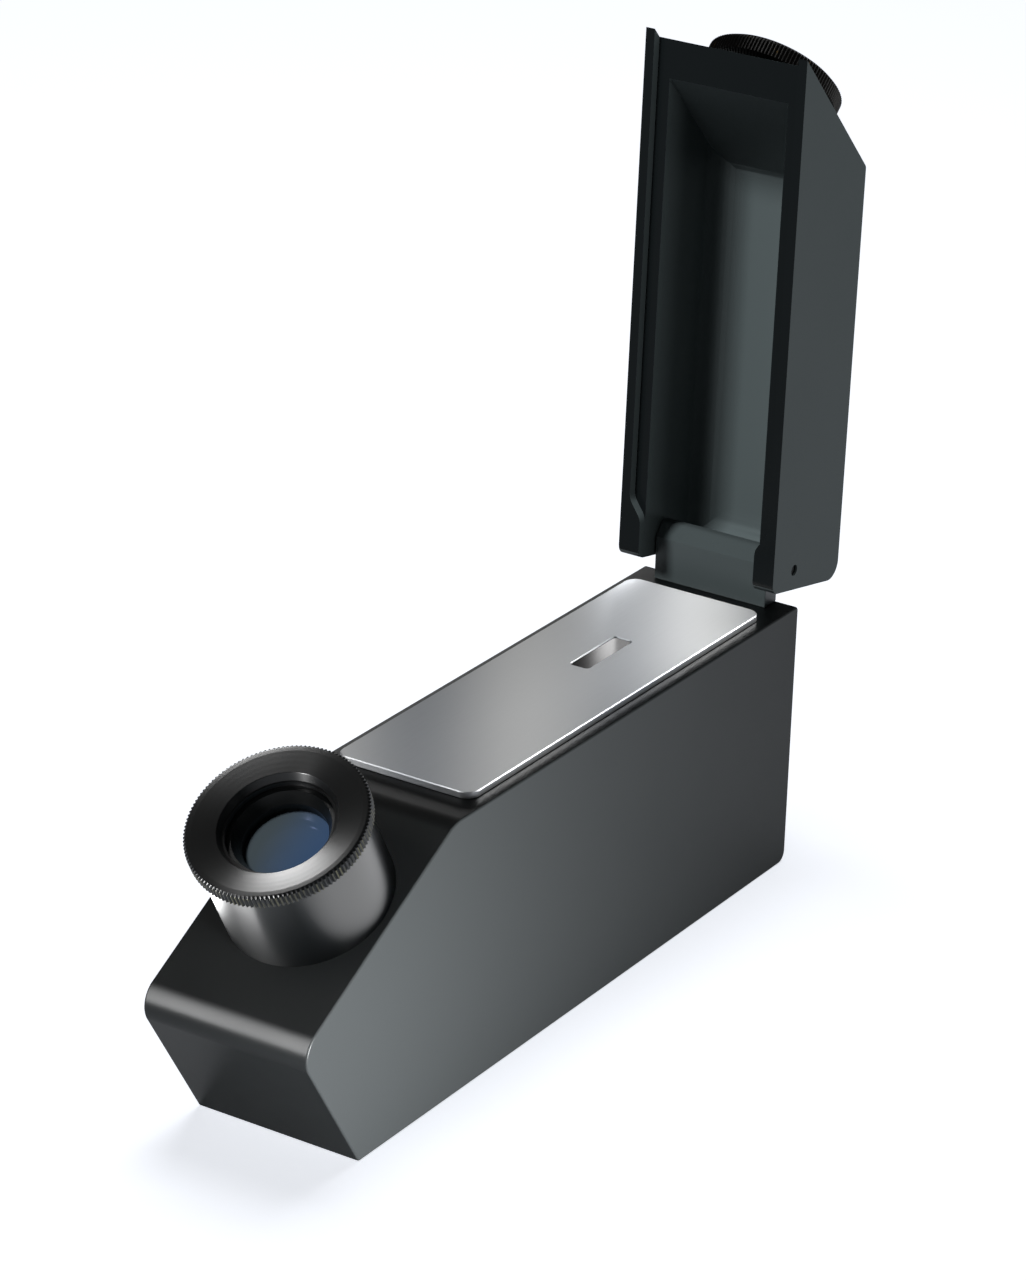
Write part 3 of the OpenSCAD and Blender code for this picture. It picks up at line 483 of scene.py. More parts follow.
def worn_tips(tree, shader, dark, metal, tip_radius, wear):
    """Rubs the dark finish off the tips of the teeth, in patches, down to the metal."""
    rubbed_depth = 0.12 * MM
    # Fingers rub the finish off in patches about 3 mm wide
    patch = 3 * MM
    vector = place_texture(tree)
    split = add_node(tree, "ShaderNodeSeparateXYZ", sockets={"Vector": vector})
    flat = add_node(tree, "ShaderNodeCombineXYZ",
                    sockets={"X": split.outputs["X"], "Y": split.outputs["Y"]})
    radius = add_node(tree, "ShaderNodeVectorMath", {"operation": "LENGTH"},
                      {"Vector": flat.outputs["Vector"]})
    tips = add_node(tree, "ShaderNodeMapRange",
                    sockets={"Value": radius.outputs["Value"], "From Min": tip_radius - rubbed_depth,
                             "From Max": tip_radius, "To Min": 0.0, "To Max": 1.0})
    patches = add_node(tree, "ShaderNodeTexNoise",
                       sockets={"Vector": vector, "Scale": 1 / patch, "Detail": 5.0})
    worn = add_node(tree, "ShaderNodeMapRange",
                    sockets={"Value": patches.outputs["Fac"], "From Min": 0.68 - wear,
                             "From Max": 0.84 - wear, "To Min": 0.0, "To Max": 1.0})
    mask = add_node(tree, "ShaderNodeMath", {"operation": "MULTIPLY"},
                    {0: tips.outputs["Result"], 1: worn.outputs["Result"]})
    mix = add_node(tree, "ShaderNodeMix", {"data_type": "RGBA"},
                   {"Factor": mask.outputs["Value"], "A": dark, "B": metal})
    tree.links.new(mix.outputs["Result"], shader.inputs["Base Color"])
    tree.links.new(mask.outputs["Value"], shader.inputs["Metallic"])


def black_anodised(name, tint, low=0.30, high=0.36, index=1.35):
    """Aluminium, bead-blasted or fine-milled and dyed black in anodising."""
    # It looks dark and dry, with a broad, weak shine. The dyed pores take up light, so the index is
    # below the 1.6 of the solid oxide
    material, tree, shader = new_material(name, {"Base Color": tint, "IOR": index})
    cloudy_roughness(tree, shader, low, high, 18 * MM)
    # The blasted grain is about 0.08 mm and is drawn at three times that, so that it shows
    grain_bump(tree, shader, 0.25 * MM, 0.004 * MM)
    return material


def turned_anodised(name, tint, metal=None, tip_radius=0.0, wear=0.0):
    """Aluminium, turned on the lathe and black anodised."""
    # The ring-shaped tool marks stretch each reflection across them, so two bright fans show on a face
    material, tree, shader = new_material(name, {"Base Color": tint, "IOR": 1.5, "Roughness": 0.3,
                                                 "Anisotropic": 0.8, "Anisotropic Rotation": 0.25})
    tangent = add_node(tree, "ShaderNodeTangent", {"direction_type": "RADIAL", "axis": "Z"})
    tree.links.new(tangent.outputs["Tangent"], shader.inputs["Tangent"])
    # Tool marks are about 0.1 mm apart and are drawn 1 mm apart, so that they show. The wave node runs
    # through 20 radians a unit
    marks = 1.005 * MM
    rings = add_node(tree, "ShaderNodeTexWave", {"wave_type": "RINGS", "rings_direction": "Z"},
                     {"Vector": place_texture(tree), "Scale": 2 * math.pi / (20 * marks), "Distortion": 0.4,
                      "Detail": 1.0})
    bump = add_node(tree, "ShaderNodeBump", sockets={"Height": rings.outputs["Fac"], "Distance": 0.003 * MM})
    tree.links.new(bump.outputs["Normal"], shader.inputs["Normal"])
    if metal:
        worn_tips(tree, shader, tint, metal, tip_radius, wear)
    return material


def lacquered_brass(name, tip_radius, wear):
    """Turned brass, dipped in black lacquer and rubbed through at the tips by fingers."""
    # It looks glossy black, with a warm glint where the metal shows
    finishes = values().finishes
    material, tree, shader = new_material(name, {"IOR": 1.5, "Roughness": 0.32})
    worn_tips(tree, shader, finishes.lacquer, finishes.brass, tip_radius, wear)
    # The lacquer's ripple, at its real size
    grain_bump(tree, shader, 0.2 * MM, 0.004 * MM)
    return material


def satin_steel(name, pale, dull, pitch, turn):
    """Stainless steel, ground along its length with a fine belt, with bands of painted reflection across it.
    """
    # The grinding lines spread the light to a soft sheen, and pale bands of painted reflection cross the
    # plate in a regular wave
    material, tree, shader = new_material(name, {"Metallic": 1.0})
    vector = place_texture(tree)
    # The lines are about 0.05 mm apart and are drawn at 0.2 mm, so that they show
    stretch = add_node(tree, "ShaderNodeMapping", sockets={"Vector": vector, "Scale": (1.0, 0.03, 1.0)})
    lines = add_node(tree, "ShaderNodeTexNoise",
                     sockets={"Vector": stretch.outputs["Vector"], "Scale": 1 / (0.2 * MM), "Detail": 2.0})
    bump = add_node(tree, "ShaderNodeBump", sockets={"Height": lines.outputs["Fac"], "Distance": 0.0015 * MM})
    tree.links.new(bump.outputs["Normal"], shader.inputs["Normal"])
    span = add_node(tree, "ShaderNodeMapRange", sockets={"Value": lines.outputs["Fac"], "To Min": 0.42,
                                                         "To Max": 0.54})
    tree.links.new(span.outputs["Result"], shader.inputs["Roughness"])
    # Painted reflection: a cosine wave across the plate, at the band pitch and turn, mixes the duller and the
    # brighter steel colour into pale bands
    across = (math.cos(turn), math.sin(turn), 0.0)
    start = -0.2
    place = add_node(tree, "ShaderNodeVectorMath", {"operation": "DOT_PRODUCT"}, {0: vector, 1: across})
    phase = add_node(tree, "ShaderNodeMath", {"operation": "MULTIPLY_ADD"},
                     {0: place.outputs["Value"], 1: 2 * math.pi / pitch, 2: start})
    wave = add_node(tree, "ShaderNodeMath", {"operation": "COSINE"}, {0: phase.outputs["Value"]})
    painted_reflection_band = add_node(tree, "ShaderNodeMapRange", sockets={"Value": wave.outputs["Value"], "From Min": -1.0,
                                                         "From Max": 1.0})
    mix = add_node(tree, "ShaderNodeMix", {"data_type": "RGBA"},
                   {"Factor": painted_reflection_band.outputs["Result"], "A": dull, "B": pale})
    tree.links.new(mix.outputs["Result"], shader.inputs["Base Color"])
    return material


def turned_steel(name, tint, roughness=0.28):
    """Steel of screws and pins, turned and left bare or blackened."""
    # It looks like dull metal with glints that wander over the tool marks
    material, tree, shader = new_material(name, {"Base Color": tint, "Metallic": 1.0, "Roughness": roughness})
    cloudy_roughness(tree, shader, roughness - 0.05, roughness + 0.08, 0.8 * MM)
    # The tool marks are about 0.05 mm and are drawn at three times that, so that they show
    grain_bump(tree, shader, 0.15 * MM, 0.003 * MM)
    return material


def flint_prism(name, dark, pale):
    """Dense flint glass, polished flat, above a dark chamber."""
    # Its high index gives a mirror-like face, and the brown-black chamber shows through in soft clouds
    cloud = 9 * MM
    material, tree, shader = new_material(name, {"IOR": 1.8, "Roughness": 0.16})
    noise = add_node(tree, "ShaderNodeTexNoise",
                     sockets={"Vector": place_texture(tree), "Scale": 1 / cloud, "Detail": 1.0})
    mix = add_node(tree, "ShaderNodeMix", {"data_type": "RGBA"},
                   {"Factor": noise.outputs["Fac"], "A": dark, "B": pale})
    tree.links.new(mix.outputs["Result"], shader.inputs["Base Color"])
    return material


def coated_lens(name, radius):
    """Crown glass, polished and coated against reflections, in front of a dark tube."""
    # Its reflections turn blue, and painted light runs from grey on the left to blue on the right, standing
    # for the dark tube behind lit from one side
    finishes = values().finishes
    material, tree, shader = new_material(name, {"IOR": 1.6, "Roughness": 0.08,
                                                 "Specular Tint": finishes.lens_gleam, "Coat Weight": 0.3,
                                                 "Coat Roughness": 0.03, "Coat Tint": finishes.lens_coat})
    # Painted light: the base colour fades from grey to blue along the lens's X, as if the tube behind were
    # lit on one side
    split = add_node(tree, "ShaderNodeSeparateXYZ", sockets={"Vector": place_texture(tree)})
    across = add_node(tree, "ShaderNodeMapRange", {"interpolation_type": "SMOOTHSTEP"},
                      {"Value": split.outputs["X"], "From Min": -0.6 * radius, "From Max": 0.9 * radius,
                       "To Min": 0.0, "To Max": 1.0})
    mix = add_node(tree, "ShaderNodeMix", {"data_type": "RGBA"},
                   {"Factor": across.outputs["Result"], "A": finishes.painted_lens_grey, "B": finishes.painted_lens_blue})
    tree.links.new(mix.outputs["Result"], shader.inputs["Base Color"])
    grain_bump(tree, shader, 2.5 * MM, 0.0006 * MM)
    return material


def clear_glass(name, tint):
    """Optical glass, polished on all sides."""
    # It is clear and sharp, with a polish that is wavy by less than a thousandth of a millimetre
    material, tree, shader = new_material(name, {"Base Color": tint, "IOR": 1.52, "Roughness": 0.03,
                                                 "Transmission Weight": 1.0})
    grain_bump(tree, shader, 4 * MM, 0.0004 * MM)
    return material


def silvered_mirror(name, tint):
    """Glass, polished and silvered on its front."""
    # It mirrors sharply, with the glass's slight waves
    material, tree, shader = new_material(name, {"Base Color": tint, "Metallic": 1.0, "Roughness": 0.03})
    grain_bump(tree, shader, 6 * MM, 0.0003 * MM)
    return material


def painted_floor(name, tint, glow):
    """Board, sprayed with matt pale paint and lit from within so that it stays even."""
    # It looks almost white, with a fine grain and no shine
    material, tree, shader = new_material(name, {"Base Color": tint, "Roughness": 0.8, "IOR": 1.3,
                                                 "Emission Color": tint, "Emission Strength": glow})
    grain_bump(tree, shader, 0.6 * MM, 0.01 * MM)
    return material


# Pieces

class REFRACTOMETER_OT_housing(Operator):
    """Builds the housing's shell with its rounded nose and bevelled walls"""
    bl_idname = "refractometer.housing"
    bl_label = "Housing"

    def execute(self, context):
        """Extrudes the side outline, bevels the walls and cuts the mouth for the base plate."""
        s = values().housing
        low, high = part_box("housing")
        front = -s.underside / 2
        rear = s.underside / 2
        shell = slab("housing_shell", rounded([
            (front, 0, s.foot_radius),
            (front - s.nose_out, s.nose_height, s.nose_radius),
            (front + s.crease_in, high.z, s.crease_radius),
            (rear, high.z, s.rear_radius),
            (rear, 0, s.rear_foot_radius),
        ], step=3), low.x, high.x)
        bevelled(shell, s.edge_bevel, segments=3, limit=60)
        plate_low, plate_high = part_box("base_plate")
        margin = s.mouth_margin
        mouth = slab("mouth", rounded(rectangle((plate_low.x - margin, plate_low.y - margin),
                                                (plate_high.x + margin, plate_high.y + margin))),
                     -plate_high.z, plate_high.z, "Z")
        cut(shell, mouth)
        smoothed(shell)
        finish = black_anodised("black_anodised_aluminium", values().finishes.black)
        finished(shell, finish, "root", "housing")
        return {"FINISHED"}


class REFRACTOMETER_OT_stage_plate(Operator):
    """Builds the satin steel stage plate with its bevel and the prism's slot"""
    bl_idname = "refractometer.stage_plate"
    bl_label = "Stage plate"

    def execute(self, context):
        """Extrudes the plate's outline, cuts the slot, bevels both and finishes the prism."""
        s = values().housing
        finishes = values().finishes
        low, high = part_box("stage_plate")
        prism_low, prism_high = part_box("prism")
        middle = (prism_low.y + prism_high.y) / 2
        plate = slab("stage_plate_steel", rounded(rectangle(low, high, s.plate_corner), step=6),
                     low.z, high.z, "Z")
        slot = slab("slot", rounded(rectangle((-s.slot_width / 2, middle - s.slot_length / 2),
                                              (s.slot_width / 2, middle + s.slot_length / 2),
                                              s.slot_corner), step=10),
                    low.z - OVERCUT, high.z + OVERCUT, "Z")
        cut(plate, slot)
        bevelled(plate, s.plate_bevel, segments=1, limit=60)
        smoothed(plate)
        finish = satin_steel("satin_stainless_steel", finishes.steel, finishes.dull_steel, s.reflection_band_pitch,
                             s.reflection_band_turn)
        finished(plate, finish, "root", "stage_plate")
        carried("prism", flint_prism("dense_flint_glass", finishes.prism_dark, finishes.prism_pale))
        return {"FINISHED"}


class REFRACTOMETER_OT_lid(Operator):
    """Builds the lid with its stepped rim, filleted pocket and hinge lobes, and stands it open"""
    bl_idname = "refractometer.lid"
    bl_label = "Lid"

    def execute(self, context):
        """Cuts the closed lid from a slab and swings it open about the hinge pin."""
        s = values().lid
        housing = values().housing
        finishes = values().finishes
        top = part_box("housing")[1].z
        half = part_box("lid")[1].x
        pin = Vector(JOINTS["lid_hinge"]["pos_m"])
        mouth = top + s.gap
        roof = mouth + s.depth
        front = -housing.underside / 2 + housing.crease_in + s.front_in
        rear = housing.underside / 2
        shell = slab("lid_shell", rounded([
            (front, mouth, 0),
            (front + s.depth / math.tan(s.slant), roof, s.front_radius),
            (rear + s.depth * math.tan(s.lean), roof, s.rear_radius),
            (rear, mouth, s.foot_radius),
        ], step=5), -half, half)

        # The pocket is what a side outline and an end outline share, so its corners are round both ways
        pocket_half = half - s.wall
        pocket_front = front + s.front_wall / math.sin(s.slant)
        pocket_rear = rear - s.rear_wall / math.cos(s.lean)
        up = s.depth - s.roof
        down = s.pocket_radius * 2
        pocket = slab("pocket", rounded([
            (pocket_front - down / math.tan(s.slant), mouth - down, 0),
            (pocket_front + up / math.tan(s.slant), mouth + up, s.pocket_radius),
            (pocket_rear + up * math.tan(s.lean), mouth + up, s.pocket_radius),
            (pocket_rear - down * math.tan(s.lean), mouth - down, 0),
        ], step=9), -pocket_half, pocket_half)
        trough = slab("trough", rounded([
            (-pocket_half, mouth - down, 0),
            (pocket_half, mouth - down, 0),
            (pocket_half, mouth + up, s.pocket_radius),
            (-pocket_half, mouth + up, s.pocket_radius),
        ], step=9), front - s.depth, rear + s.depth, "Y")
        boolean(pocket, trough, "INTERSECT")

        # The recess leaves a proud rim along the side walls, up to the lobes that hold the pin
        recess_half = half - s.rim_width
        rim_foot = mouth - s.rim_height
        lobe = s.rim_height * 2
        lobe_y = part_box("stage_plate")[1].y + 5 * s.gap
        recess = slab("recess", rounded([
            (-recess_half, front - s.rim_height, 0),
            (recess_half, front - s.rim_height, 0),
            (recess_half, lobe_y - lobe, lobe),
            (pocket_half, lobe_y, lobe),
            (pocket_half, pin.y, 0),
            (-pocket_half, pin.y, 0),
            (-pocket_half, lobe_y, lobe),
            (-recess_half, lobe_y - lobe, lobe),
        ], step=9), rim_foot, mouth + s.rim_height, "Z")

        # The notch takes the hinge block, and the step behind it is where the open lid stops
        block_low, block_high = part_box("hinge_block")
        crest = block_high.z + 2 * s.notch_gap
        notch = slab("notch", rounded(rectangle((block_low.y - s.wall, rim_foot),
                                                (block_high.y + s.notch_gap, crest))),
                     -pocket_half, pocket_half)
        stop = pin.z + (block_high.y - block_low.y) / 2 + s.stop_gap
        step = slab("step", rounded(rectangle((block_high.y, rim_foot), (block_high.y + s.depth, stop))),
                    -pocket_half, pocket_half)
        pin_hole = lathe("pin_hole", [(0, -2 * half), (s.pin_hole, -2 * half), (s.pin_hole, 2 * half),
                                      (0, 2 * half)],
                         Matrix.Translation(pin) @ Matrix.Rotation(math.pi / 2, 4, "Y"), 48)
        cut(shell, pocket, recess, notch, step, pin_hole)
        bevelled(shell, s.edge_bevel, limit=50)
        swing = Matrix.Translation(pin) @ Matrix.Rotation(-s.opened, 4, "X") @ Matrix.Translation(-pin)
        shell.data.transform(swing)
        smoothed(shell)
        finished(shell, black_anodised("black_anodised_lid", finishes.hinge_grey), "lid", "lid")

        # The faces round the open mouth are milled bright, and look blacker than the blasted outside
        shell.data.materials.append(black_anodised("milled_anodised_mouth", finishes.milled_black,
                                                   low=0.2, high=0.26, index=1.2))
        mouth_y = pin.y - (pin.z - mouth) + 1.5 * s.rim_height
        for face in shell.data.polygons:
            if face.normal.y < -0.9 and face.center.y < mouth_y:
                face.material_index = 1
        carried("parking_boss", black_anodised("black_anodised_boss", finishes.deep_black))
        return {"FINISHED"}


class REFRACTOMETER_OT_hinge(Operator):
    """Builds the hinge block with its raised crest, and finishes the pin"""
    bl_idname = "refractometer.hinge"
    bl_label = "Hinge"

    def execute(self, context):
        """Extrudes the block's outline and bevels its edges."""
        s = values().lid
        finishes = values().finishes
        low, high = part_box("hinge_block")
        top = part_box("housing")[1].z
        depth = high.y - low.y
        block = slab("hinge_block_body", rounded([
            (low.y, top, 0),
            (low.y, top + s.block_front, s.block_corner),
            ((low.y + high.y) / 2, high.z, depth * s.crest_front),
            (high.y, high.z, depth * s.crest_rear),
            (high.y, top, 0),
        ], step=8), low.x, high.x)
        bevelled(block, s.block_bevel, limit=60)
        smoothed(block)
        finish = black_anodised("blasted_anodised_hinge_grey", finishes.hinge_grey, low=0.4, high=0.5)
        finished(block, finish, "root", "hinge_block")
        carried("hinge_pin", turned_steel("blackened_steel_pin", finishes.dark_pin))
        return {"FINISHED"}


class REFRACTOMETER_OT_eyepiece(Operator):
    """Builds the barrel, the knurled focus ring and the coated eye lens"""
    bl_idname = "refractometer.eyepiece"
    bl_label = "Eyepiece"

    def execute(self, context):
        """Turns each piece about the eyepiece's axis."""
        s = values().eyepiece
        finishes = values().finishes
        place = axis_place("focus_turn")
        foot = s.barrel_height + s.ring_gap
        top = foot + s.ring_height
        sleeve_foot = foot - s.sleeve_length
        pocket_foot = sleeve_foot - s.ring_gap
        pocket_radius = s.sleeve_radius + s.clearance
        barrel = lathe("barrel", rounded([
            (s.bore, -s.spigot_length, 0),
            (s.spigot_radius, -s.spigot_length, 0),
            (s.spigot_radius, 0, 0),
            (s.barrel_radius, 0, 0),
            (s.barrel_radius, s.barrel_height, s.edge_radius),
            (pocket_radius, s.barrel_height, 0),
            (pocket_radius, pocket_foot, 0),
            (s.bore, pocket_foot, 0),
        ], step=15), place)
        smoothed(barrel)
        finish = turned_anodised("turned_anodised_barrel", finishes.turned_black)
        finished(barrel, finish, "root", "eyepiece_barrel")

        mouth = top - s.dish
        lip = s.mouth_radius - s.cone_height / 2
        tube_top = top - s.cone_height + s.ring_gap
        ring = lathe("focus_knurl_ring", rounded([
            (s.bore, sleeve_foot, 0),
            (s.sleeve_radius, sleeve_foot, 0),
            (s.sleeve_radius, foot, 0),
            (s.ring_radius - 2 * s.knurl_depth, foot, 0),
            (s.ring_radius, foot + s.knurl_depth, 0),
            (s.ring_radius, top - s.knurl_depth, 0),
            (s.ring_radius - 1.6 * s.knurl_depth, top, s.edge_radius),
            (s.ring_radius - 4 * s.knurl_depth, top, s.edge_radius / 2),
            (s.mouth_radius, mouth, s.edge_radius / 2),
            (lip, mouth - s.cone_height, 0),
            (lip, tube_top, 0),
            (s.bore, tube_top, 0),
        ], step=15), place, s.teeth * 8, knurl(s.ring_radius, s.knurl_depth, s.teeth, s.knurl_slant))
        smoothed(ring)
        finish = turned_anodised("turned_anodised_ring", finishes.turned_black, finishes.worn_metal,
                                 s.ring_radius, finishes.ring_wear)
        finished(ring, finish, "focus_knurl", "focus_ring")

        # Both sides of the lens are arcs of the same curve, drawn from the middle to the edge
        seat = top - s.lens_depth
        fall = s.lens_curve - math.sqrt(s.lens_curve ** 2 - s.lens_radius ** 2)
        steps = 24
        cap = []
        for i in range(steps + 1):
            r = s.lens_radius * i / steps
            cap.append((r, seat + fall - (s.lens_curve - math.sqrt(s.lens_curve ** 2 - r ** 2))))
        under = [(r, 2 * seat - s.lens_edge - h) for r, h in reversed(cap)]
        lens = lathe("coated_eye_lens", cap + under, place, 128)
        smoothed(lens, limit=60)
        finished(lens, coated_lens("blue_coated_glass", s.lens_radius), "focus", "eye_lens")
        carried("lens_ring", black_anodised("black_anodised_lens_ring", finishes.lens_ring,
                                            low=0.25, high=0.32))
        carried("focus_tube", black_anodised("black_anodised_tube", finishes.deep_black,
                                             low=0.35, high=0.45))
        return {"FINISHED"}


class REFRACTOMETER_OT_filter(Operator):
    """Builds the knurled polarising filter that is parked on the lid's slanted front"""
    bl_idname = "refractometer.filter"
    bl_label = "Polarising filter"

    def execute(self, context):
        """Turns the sleeve and the knurled ring about the filter's axis, and finishes the glass."""
        s = values().filter
        finishes = values().finishes
        place = axis_place("filter_turn")
        sleeve = lathe("filter_neck", rounded([
            (s.bore, s.gap, 0),
            (s.neck_radius, s.gap, s.edge_radius),
            (s.neck_radius, s.neck_height, s.edge_radius),
            (s.hub_radius, s.neck_height, 0),
            (s.hub_radius, s.hub_height, 0),
            (s.bore, s.hub_height, 0),
        ], step=15), place)
        smoothed(sleeve)
        finish = lacquered_brass("lacquered_brass_neck", s.neck_radius, finishes.neck_wear)
        finished(sleeve, finish, "filter", "filter_sleeve")

        foot = s.neck_height + s.gap
        hub = s.hub_radius + s.clearance
        ledge = s.glass_low + s.glass_play
        bevel = 2 * s.knurl_depth
        face = s.radius - bevel - s.knurl_depth
        ring = lathe("filter_knurl_ring", rounded([
            (hub, foot, 0),
            (face, foot, 0),
            (s.radius, foot + bevel, 0),
            (s.radius, s.height - bevel, 0),
            (face, s.height, s.edge_radius),
            (s.clear_radius + s.mouth_bevel, s.height, 0),
            (s.clear_radius, s.height - s.mouth_bevel, 0),
            (s.clear_radius, s.glass_top, 0),
            (s.glass_radius, s.glass_top, 0),
            (s.glass_radius, ledge, 0),
            (hub, ledge, 0),
        ], step=15), place, s.teeth * 8, knurl(s.radius, s.knurl_depth, s.teeth))
        smoothed(ring)
        finish = lacquered_brass("lacquered_brass_knurl", s.radius, finishes.knurl_wear)
        finished(ring, finish, "filter_knurl", "filter_ring")
        carried("filter_glass", clear_glass("polarising_glass", finishes.polariser))
        return {"FINISHED"}


class REFRACTOMETER_OT_inner_parts(Operator):
    """Finishes the pieces that keep their own shape: base, screws, bezel and everything inside"""
    bl_idname = "refractometer.inner_parts"
    bl_label = "Base, bezel and inner parts"

    def execute(self, context):
        """Gives one material to each group of like pieces."""
        finishes = values().finishes
        groups = (
            ("black_anodised", black_anodised("black_anodised_base", finishes.black),
             ("base_plate", "light_bezel")),
            ("inner_black", black_anodised("black_anodised_chamber", finishes.deep_black, low=0.5, high=0.6),
             ("prism_carrier", "barrel_nut", "scale_holder", "mirror_bracket", "objective_holder",
              "objective_tube")),
            ("screw_steel", turned_steel("turned_screw_steel", finishes.screw_steel),
             ("carrier_screws", "block_screws")),
            ("blackened_steel", turned_steel("blackened_screw_steel", finishes.dark_screw, 0.35),
             ("base_screws", "mirror_screws")),
            ("lens_glass", clear_glass("polished_crown_glass", finishes.crown_glass),
             ("field_lens", "scale_glass", "objective_lenses")),
            ("amber_glass", clear_glass("polished_amber_glass", finishes.amber), ("light_glass",)),
            ("mirror_silver", silvered_mirror("silvered_mirror", finishes.silver), ("fold_mirror",)),
        )
        for slot, material, nodes in groups:
            for node in nodes:
                carried(node, material)
        return {"FINISHED"}


# Studio

def gathered(name, pieces):
    """A collection outside the scene that lists the named pieces for a light."""
    collection = bpy.data.collections.new(name)
    for piece in pieces:
        collection.objects.link(bpy.data.objects[piece])
    return collection


def light_only(source, pieces):
    """Lets a light or a glowing object light only the named pieces."""
    source.light_linking.receiver_collection = gathered("lit_by_" + source.name, pieces)


def area_light(name, place, target, size, strength, pieces, mirrored=True, scattered=True, blockers=()):
    """A soft rectangular light for its pieces alone, which isn't seen itself. Strength is the light that it
    throws on its target. Mirrored and scattered say whether shine and matt colour show it, and blockers,
    where there are any, are all that shades it."""
    data = bpy.data.lights.new(name, "AREA")
    data.shape = "RECTANGLE"
    data.size, data.size_y = size
    reach = Vector(target) - Vector(place)
    data.energy = strength * math.pi * reach.length ** 2 * values().studio.light
    obj = bpy.data.objects.new(name, data)
    bpy.context.scene.collection.objects.link(obj)
    obj.location = place
    obj.rotation_euler = reach.to_track_quat("-Z", "Y").to_euler()
    obj.visible_camera = False
    obj.visible_glossy = mirrored
    obj.visible_diffuse = scattered
    light_only(obj, pieces)
    if blockers:
        obj.light_linking.blocker_collection = gathered("shading_" + name, blockers)


def lay_floor(s):
    """A wide pale floor under the object."""
    reach = s.floor_reach
    floor = slab("floor", rounded(rectangle((-reach, -reach), (reach, reach))),
                 -s.floor_thickness, 0.0, "Z")
    floor.data.materials.append(painted_floor("matt_painted_floor", values().finishes.floor, s.floor_glow))


def set_up_camera(scene, s):
    """The camera at the photograph's viewing angle."""
    data = bpy.data.cameras.new("camera")
    data.lens = s.lens
    data.sensor_width = s.sensor
    data.clip_start = 50 * MM
    camera = bpy.data.objects.new("camera", data)
    scene.collection.objects.link(camera)
    camera.location = s.camera_place
    camera.rotation_euler = s.camera_turn
    scene.camera = camera
    scene.view_settings.view_transform = "Standard"
    scene.view_settings.look = "None"


def set_up_lights():
    """Places each light and links it to the pieces that it is meant for."""
    housing = ["housing_shell", "base_plate"]
    lid = ["lid_shell", "hinge_pin"]
    block = ["hinge_block_body"]
    barrel = ["barrel"]
    ring = ["focus_knurl_ring", "lens_ring", "focus_tube"]
    lens = ["coated_eye_lens"]
    filters = ["filter_neck", "filter_knurl_ring", "filter_glass", "parking_boss"]
    plate = ["stage_plate_steel"]
    prism = ["prism"]
    light_only(bpy.data.objects["floor"], block + barrel + ring + lens + filters + plate + prism)
    on_eyepiece = (0.0, -0.07, 0.05)
    on_plate = (0.0, 0.0, 0.053)
    on_hinge = (0.0, 0.0, 0.08)

    # The right wall fades from its nose to its rear, and a long reflection follows the nose
    area_light("wall_front", (0.118, -0.100, 0.025), (0.0, -0.088, 0.02), (0.06, 0.04), 10.5, housing)
    area_light("nose_band", (-0.42, -0.90, 0.50), (0.0, -0.08, 0.03), (0.5, 1.3), 9.0, housing,
               scattered=False)

    # Lid, hinge block and filter are lit softly from above and from the side
    area_light("key", (-0.14, -0.58, 0.85), on_hinge, (0.2, 0.2), 8.0, lid, mirrored=False)
    area_light("lid_side", (0.35, 0.05, 0.20), (0.0, 0.07, 0.12), (0.2, 0.2), 2.2, lid, mirrored=False)
    area_light("block_key", (-0.42, -0.58, 0.72), on_hinge, (0.2, 0.2), 5.0, block, mirrored=False)
    area_light("filter_key", (0.42, 0.30, 0.52), (0.0, 0.08, 0.14), (0.2, 0.2), 1.5, filters)

    # The eyepiece shows glints on its turned faces, two bright bands on its barrel and a lit lens
    area_light("ring_key", (-0.404, 0.121, 0.45), on_eyepiece, (0.16, 0.16), 2.3, barrel + ring,
               scattered=False)
    area_light("mouth_glint", (-0.36, -0.90, 0.15), on_eyepiece, (0.12, 0.20), 5.0, ring, scattered=False)
    area_light("lens_key", (-0.30, -0.30, 0.60), on_eyepiece, (0.2, 0.2), 6.0, lens, mirrored=False)
    area_light("barrel_left", (-0.080, -0.070, 0.004), (-0.080, -0.070, 0.054), (0.14, 0.24), 150.0,
               barrel, scattered=False)
    area_light("barrel_right", (0.065, 0.02, 0.004), (0.065, 0.02, 0.054), (0.09, 0.20), 17.0, barrel,
               scattered=False)

    # The steel plate is evenly grey with bright edges, and the prism's rear end glows faintly
    area_light("plate_field", (-0.33, 0.34, 0.55), on_plate, (0.4, 0.4), 0.38, plate, blockers=plate)
    area_light("plate_front_edge", (-0.42, -0.38, 0.68), (0.0, -0.05, 0.053), (0.15, 0.15), 1.0, plate)
    area_light("plate_rear", (-0.026, 0.098, 0.066), (0.002, 0.056, 0.053), (0.02, 0.02), 1.8, plate,
               blockers=plate)
    area_light("plate_edges", (0.35, 0.65, 0.45), on_plate, (0.4, 0.3), 2.5, plate)
    area_light("prism_end", (-0.049, 0.117, 0.095), (0.0, 0.04, 0.053), (0.01, 0.01), 0.05, prism,
               blockers=prism)

    # The rear is lit weakly for the other views, and the floor gets a soft shadow
    area_light("rear_fill", (-0.62, 0.52, 0.10), (0.0, 0.0, 0.05), (0.6, 0.5), 1.0, housing + lid + block)
    area_light("overhead", (-0.1, 0.15, 1.0), (0.0, 0.0, 0.0), (0.5, 0.5), 1.25, ["floor"])


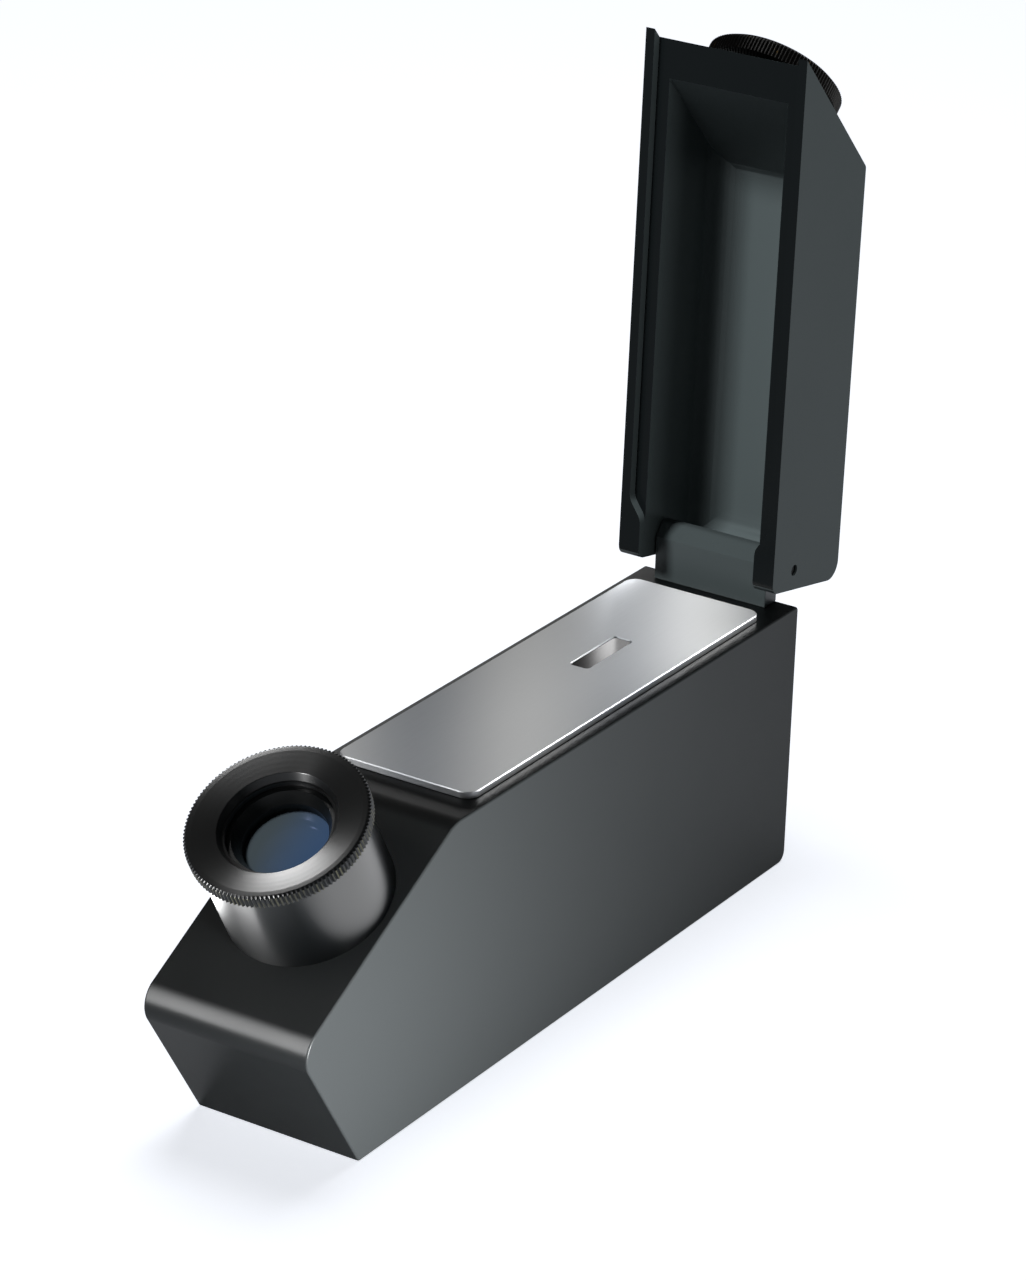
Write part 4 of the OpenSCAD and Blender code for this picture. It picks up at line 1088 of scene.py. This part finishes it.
def dim_surroundings(scene, strength):
    """Surroundings that are almost dark, a little less so above than below."""
    world = bpy.data.worlds.new("dim_surroundings")
    scene.world = world
    world.use_nodes = True
    tree = world.node_tree
    background = tree.nodes["Background"]
    direction = add_node(tree, "ShaderNodeTexCoord").outputs["Generated"]
    split = add_node(tree, "ShaderNodeSeparateXYZ", sockets={"Vector": direction})
    ramp = add_node(tree, "ShaderNodeValToRGB", sockets={"Fac": split.outputs["Z"]})
    for stop, place, grey in zip(ramp.color_ramp.elements, (0.0, 0.5), (0.04, 0.05)):
        stop.position = place
        stop.color = (grey, grey, grey, 1.0)
    tree.links.new(ramp.outputs["Color"], background.inputs["Color"])
    background.inputs["Strength"].default_value = strength


class REFRACTOMETER_OT_studio(Operator):
    """Sets up the pale floor, the camera, the soft lights and the dim surroundings"""
    bl_idname = "refractometer.studio"
    bl_label = "Studio"

    def execute(self, context):
        """Builds the stage round the finished pieces, because the lights are linked to them."""
        s = values().studio
        for name in ("Cube", "Light", "Camera"):
            if name in bpy.data.objects:
                bpy.data.objects.remove(bpy.data.objects[name])
        lay_floor(s)
        set_up_camera(context.scene, s)
        set_up_lights()
        dim_surroundings(context.scene, s.light)
        return {"FINISHED"}


class REFRACTOMETER_PT_panel(Panel):
    """Lists the operators and the values in the sidebar"""
    bl_idname = "REFRACTOMETER_PT_panel"
    bl_label = "Refractometer"
    bl_space_type = "VIEW_3D"
    bl_region_type = "UI"
    bl_category = "Refractometer"

    def draw(self, context):
        """Shows one button for each operator, and below them each group of values."""
        for operator in OPERATORS:
            self.layout.operator(operator.bl_idname)
        for title in Refractometer.__annotations__:
            group = getattr(values(), title)
            box = self.layout.box()
            box.label(text=title.capitalize())
            for name in type(group).__annotations__:
                box.prop(group, name)


GROUPS = (HousingSizes, LidSizes, EyepieceSizes, FilterSizes, Finishes, StudioSizes, Refractometer)
OPERATORS = (REFRACTOMETER_OT_housing, REFRACTOMETER_OT_stage_plate, REFRACTOMETER_OT_hinge,
             REFRACTOMETER_OT_lid, REFRACTOMETER_OT_eyepiece, REFRACTOMETER_OT_filter,
             REFRACTOMETER_OT_inner_parts, REFRACTOMETER_OT_studio)
CLASSES = GROUPS + OPERATORS + (REFRACTOMETER_PT_panel,)


def register():
    """Registers the classes and adds the values to the scene."""
    for cls in CLASSES:
        bpy.utils.register_class(cls)
    bpy.types.Scene.refractometer = PointerProperty(type=Refractometer)


def unregister():
    """Takes the values and the classes away again."""
    del bpy.types.Scene.refractometer
    for cls in reversed(CLASSES):
        bpy.utils.unregister_class(cls)


def main():
    """Builds everything in order."""
    register()
    bpy.ops.refractometer.housing()
    bpy.ops.refractometer.stage_plate()
    bpy.ops.refractometer.hinge()
    bpy.ops.refractometer.lid()
    bpy.ops.refractometer.eyepiece()
    bpy.ops.refractometer.filter()
    bpy.ops.refractometer.inner_parts()
    bpy.ops.refractometer.studio()
    bpy.context.view_layer.update()


if __name__ == "__main__":
    main()
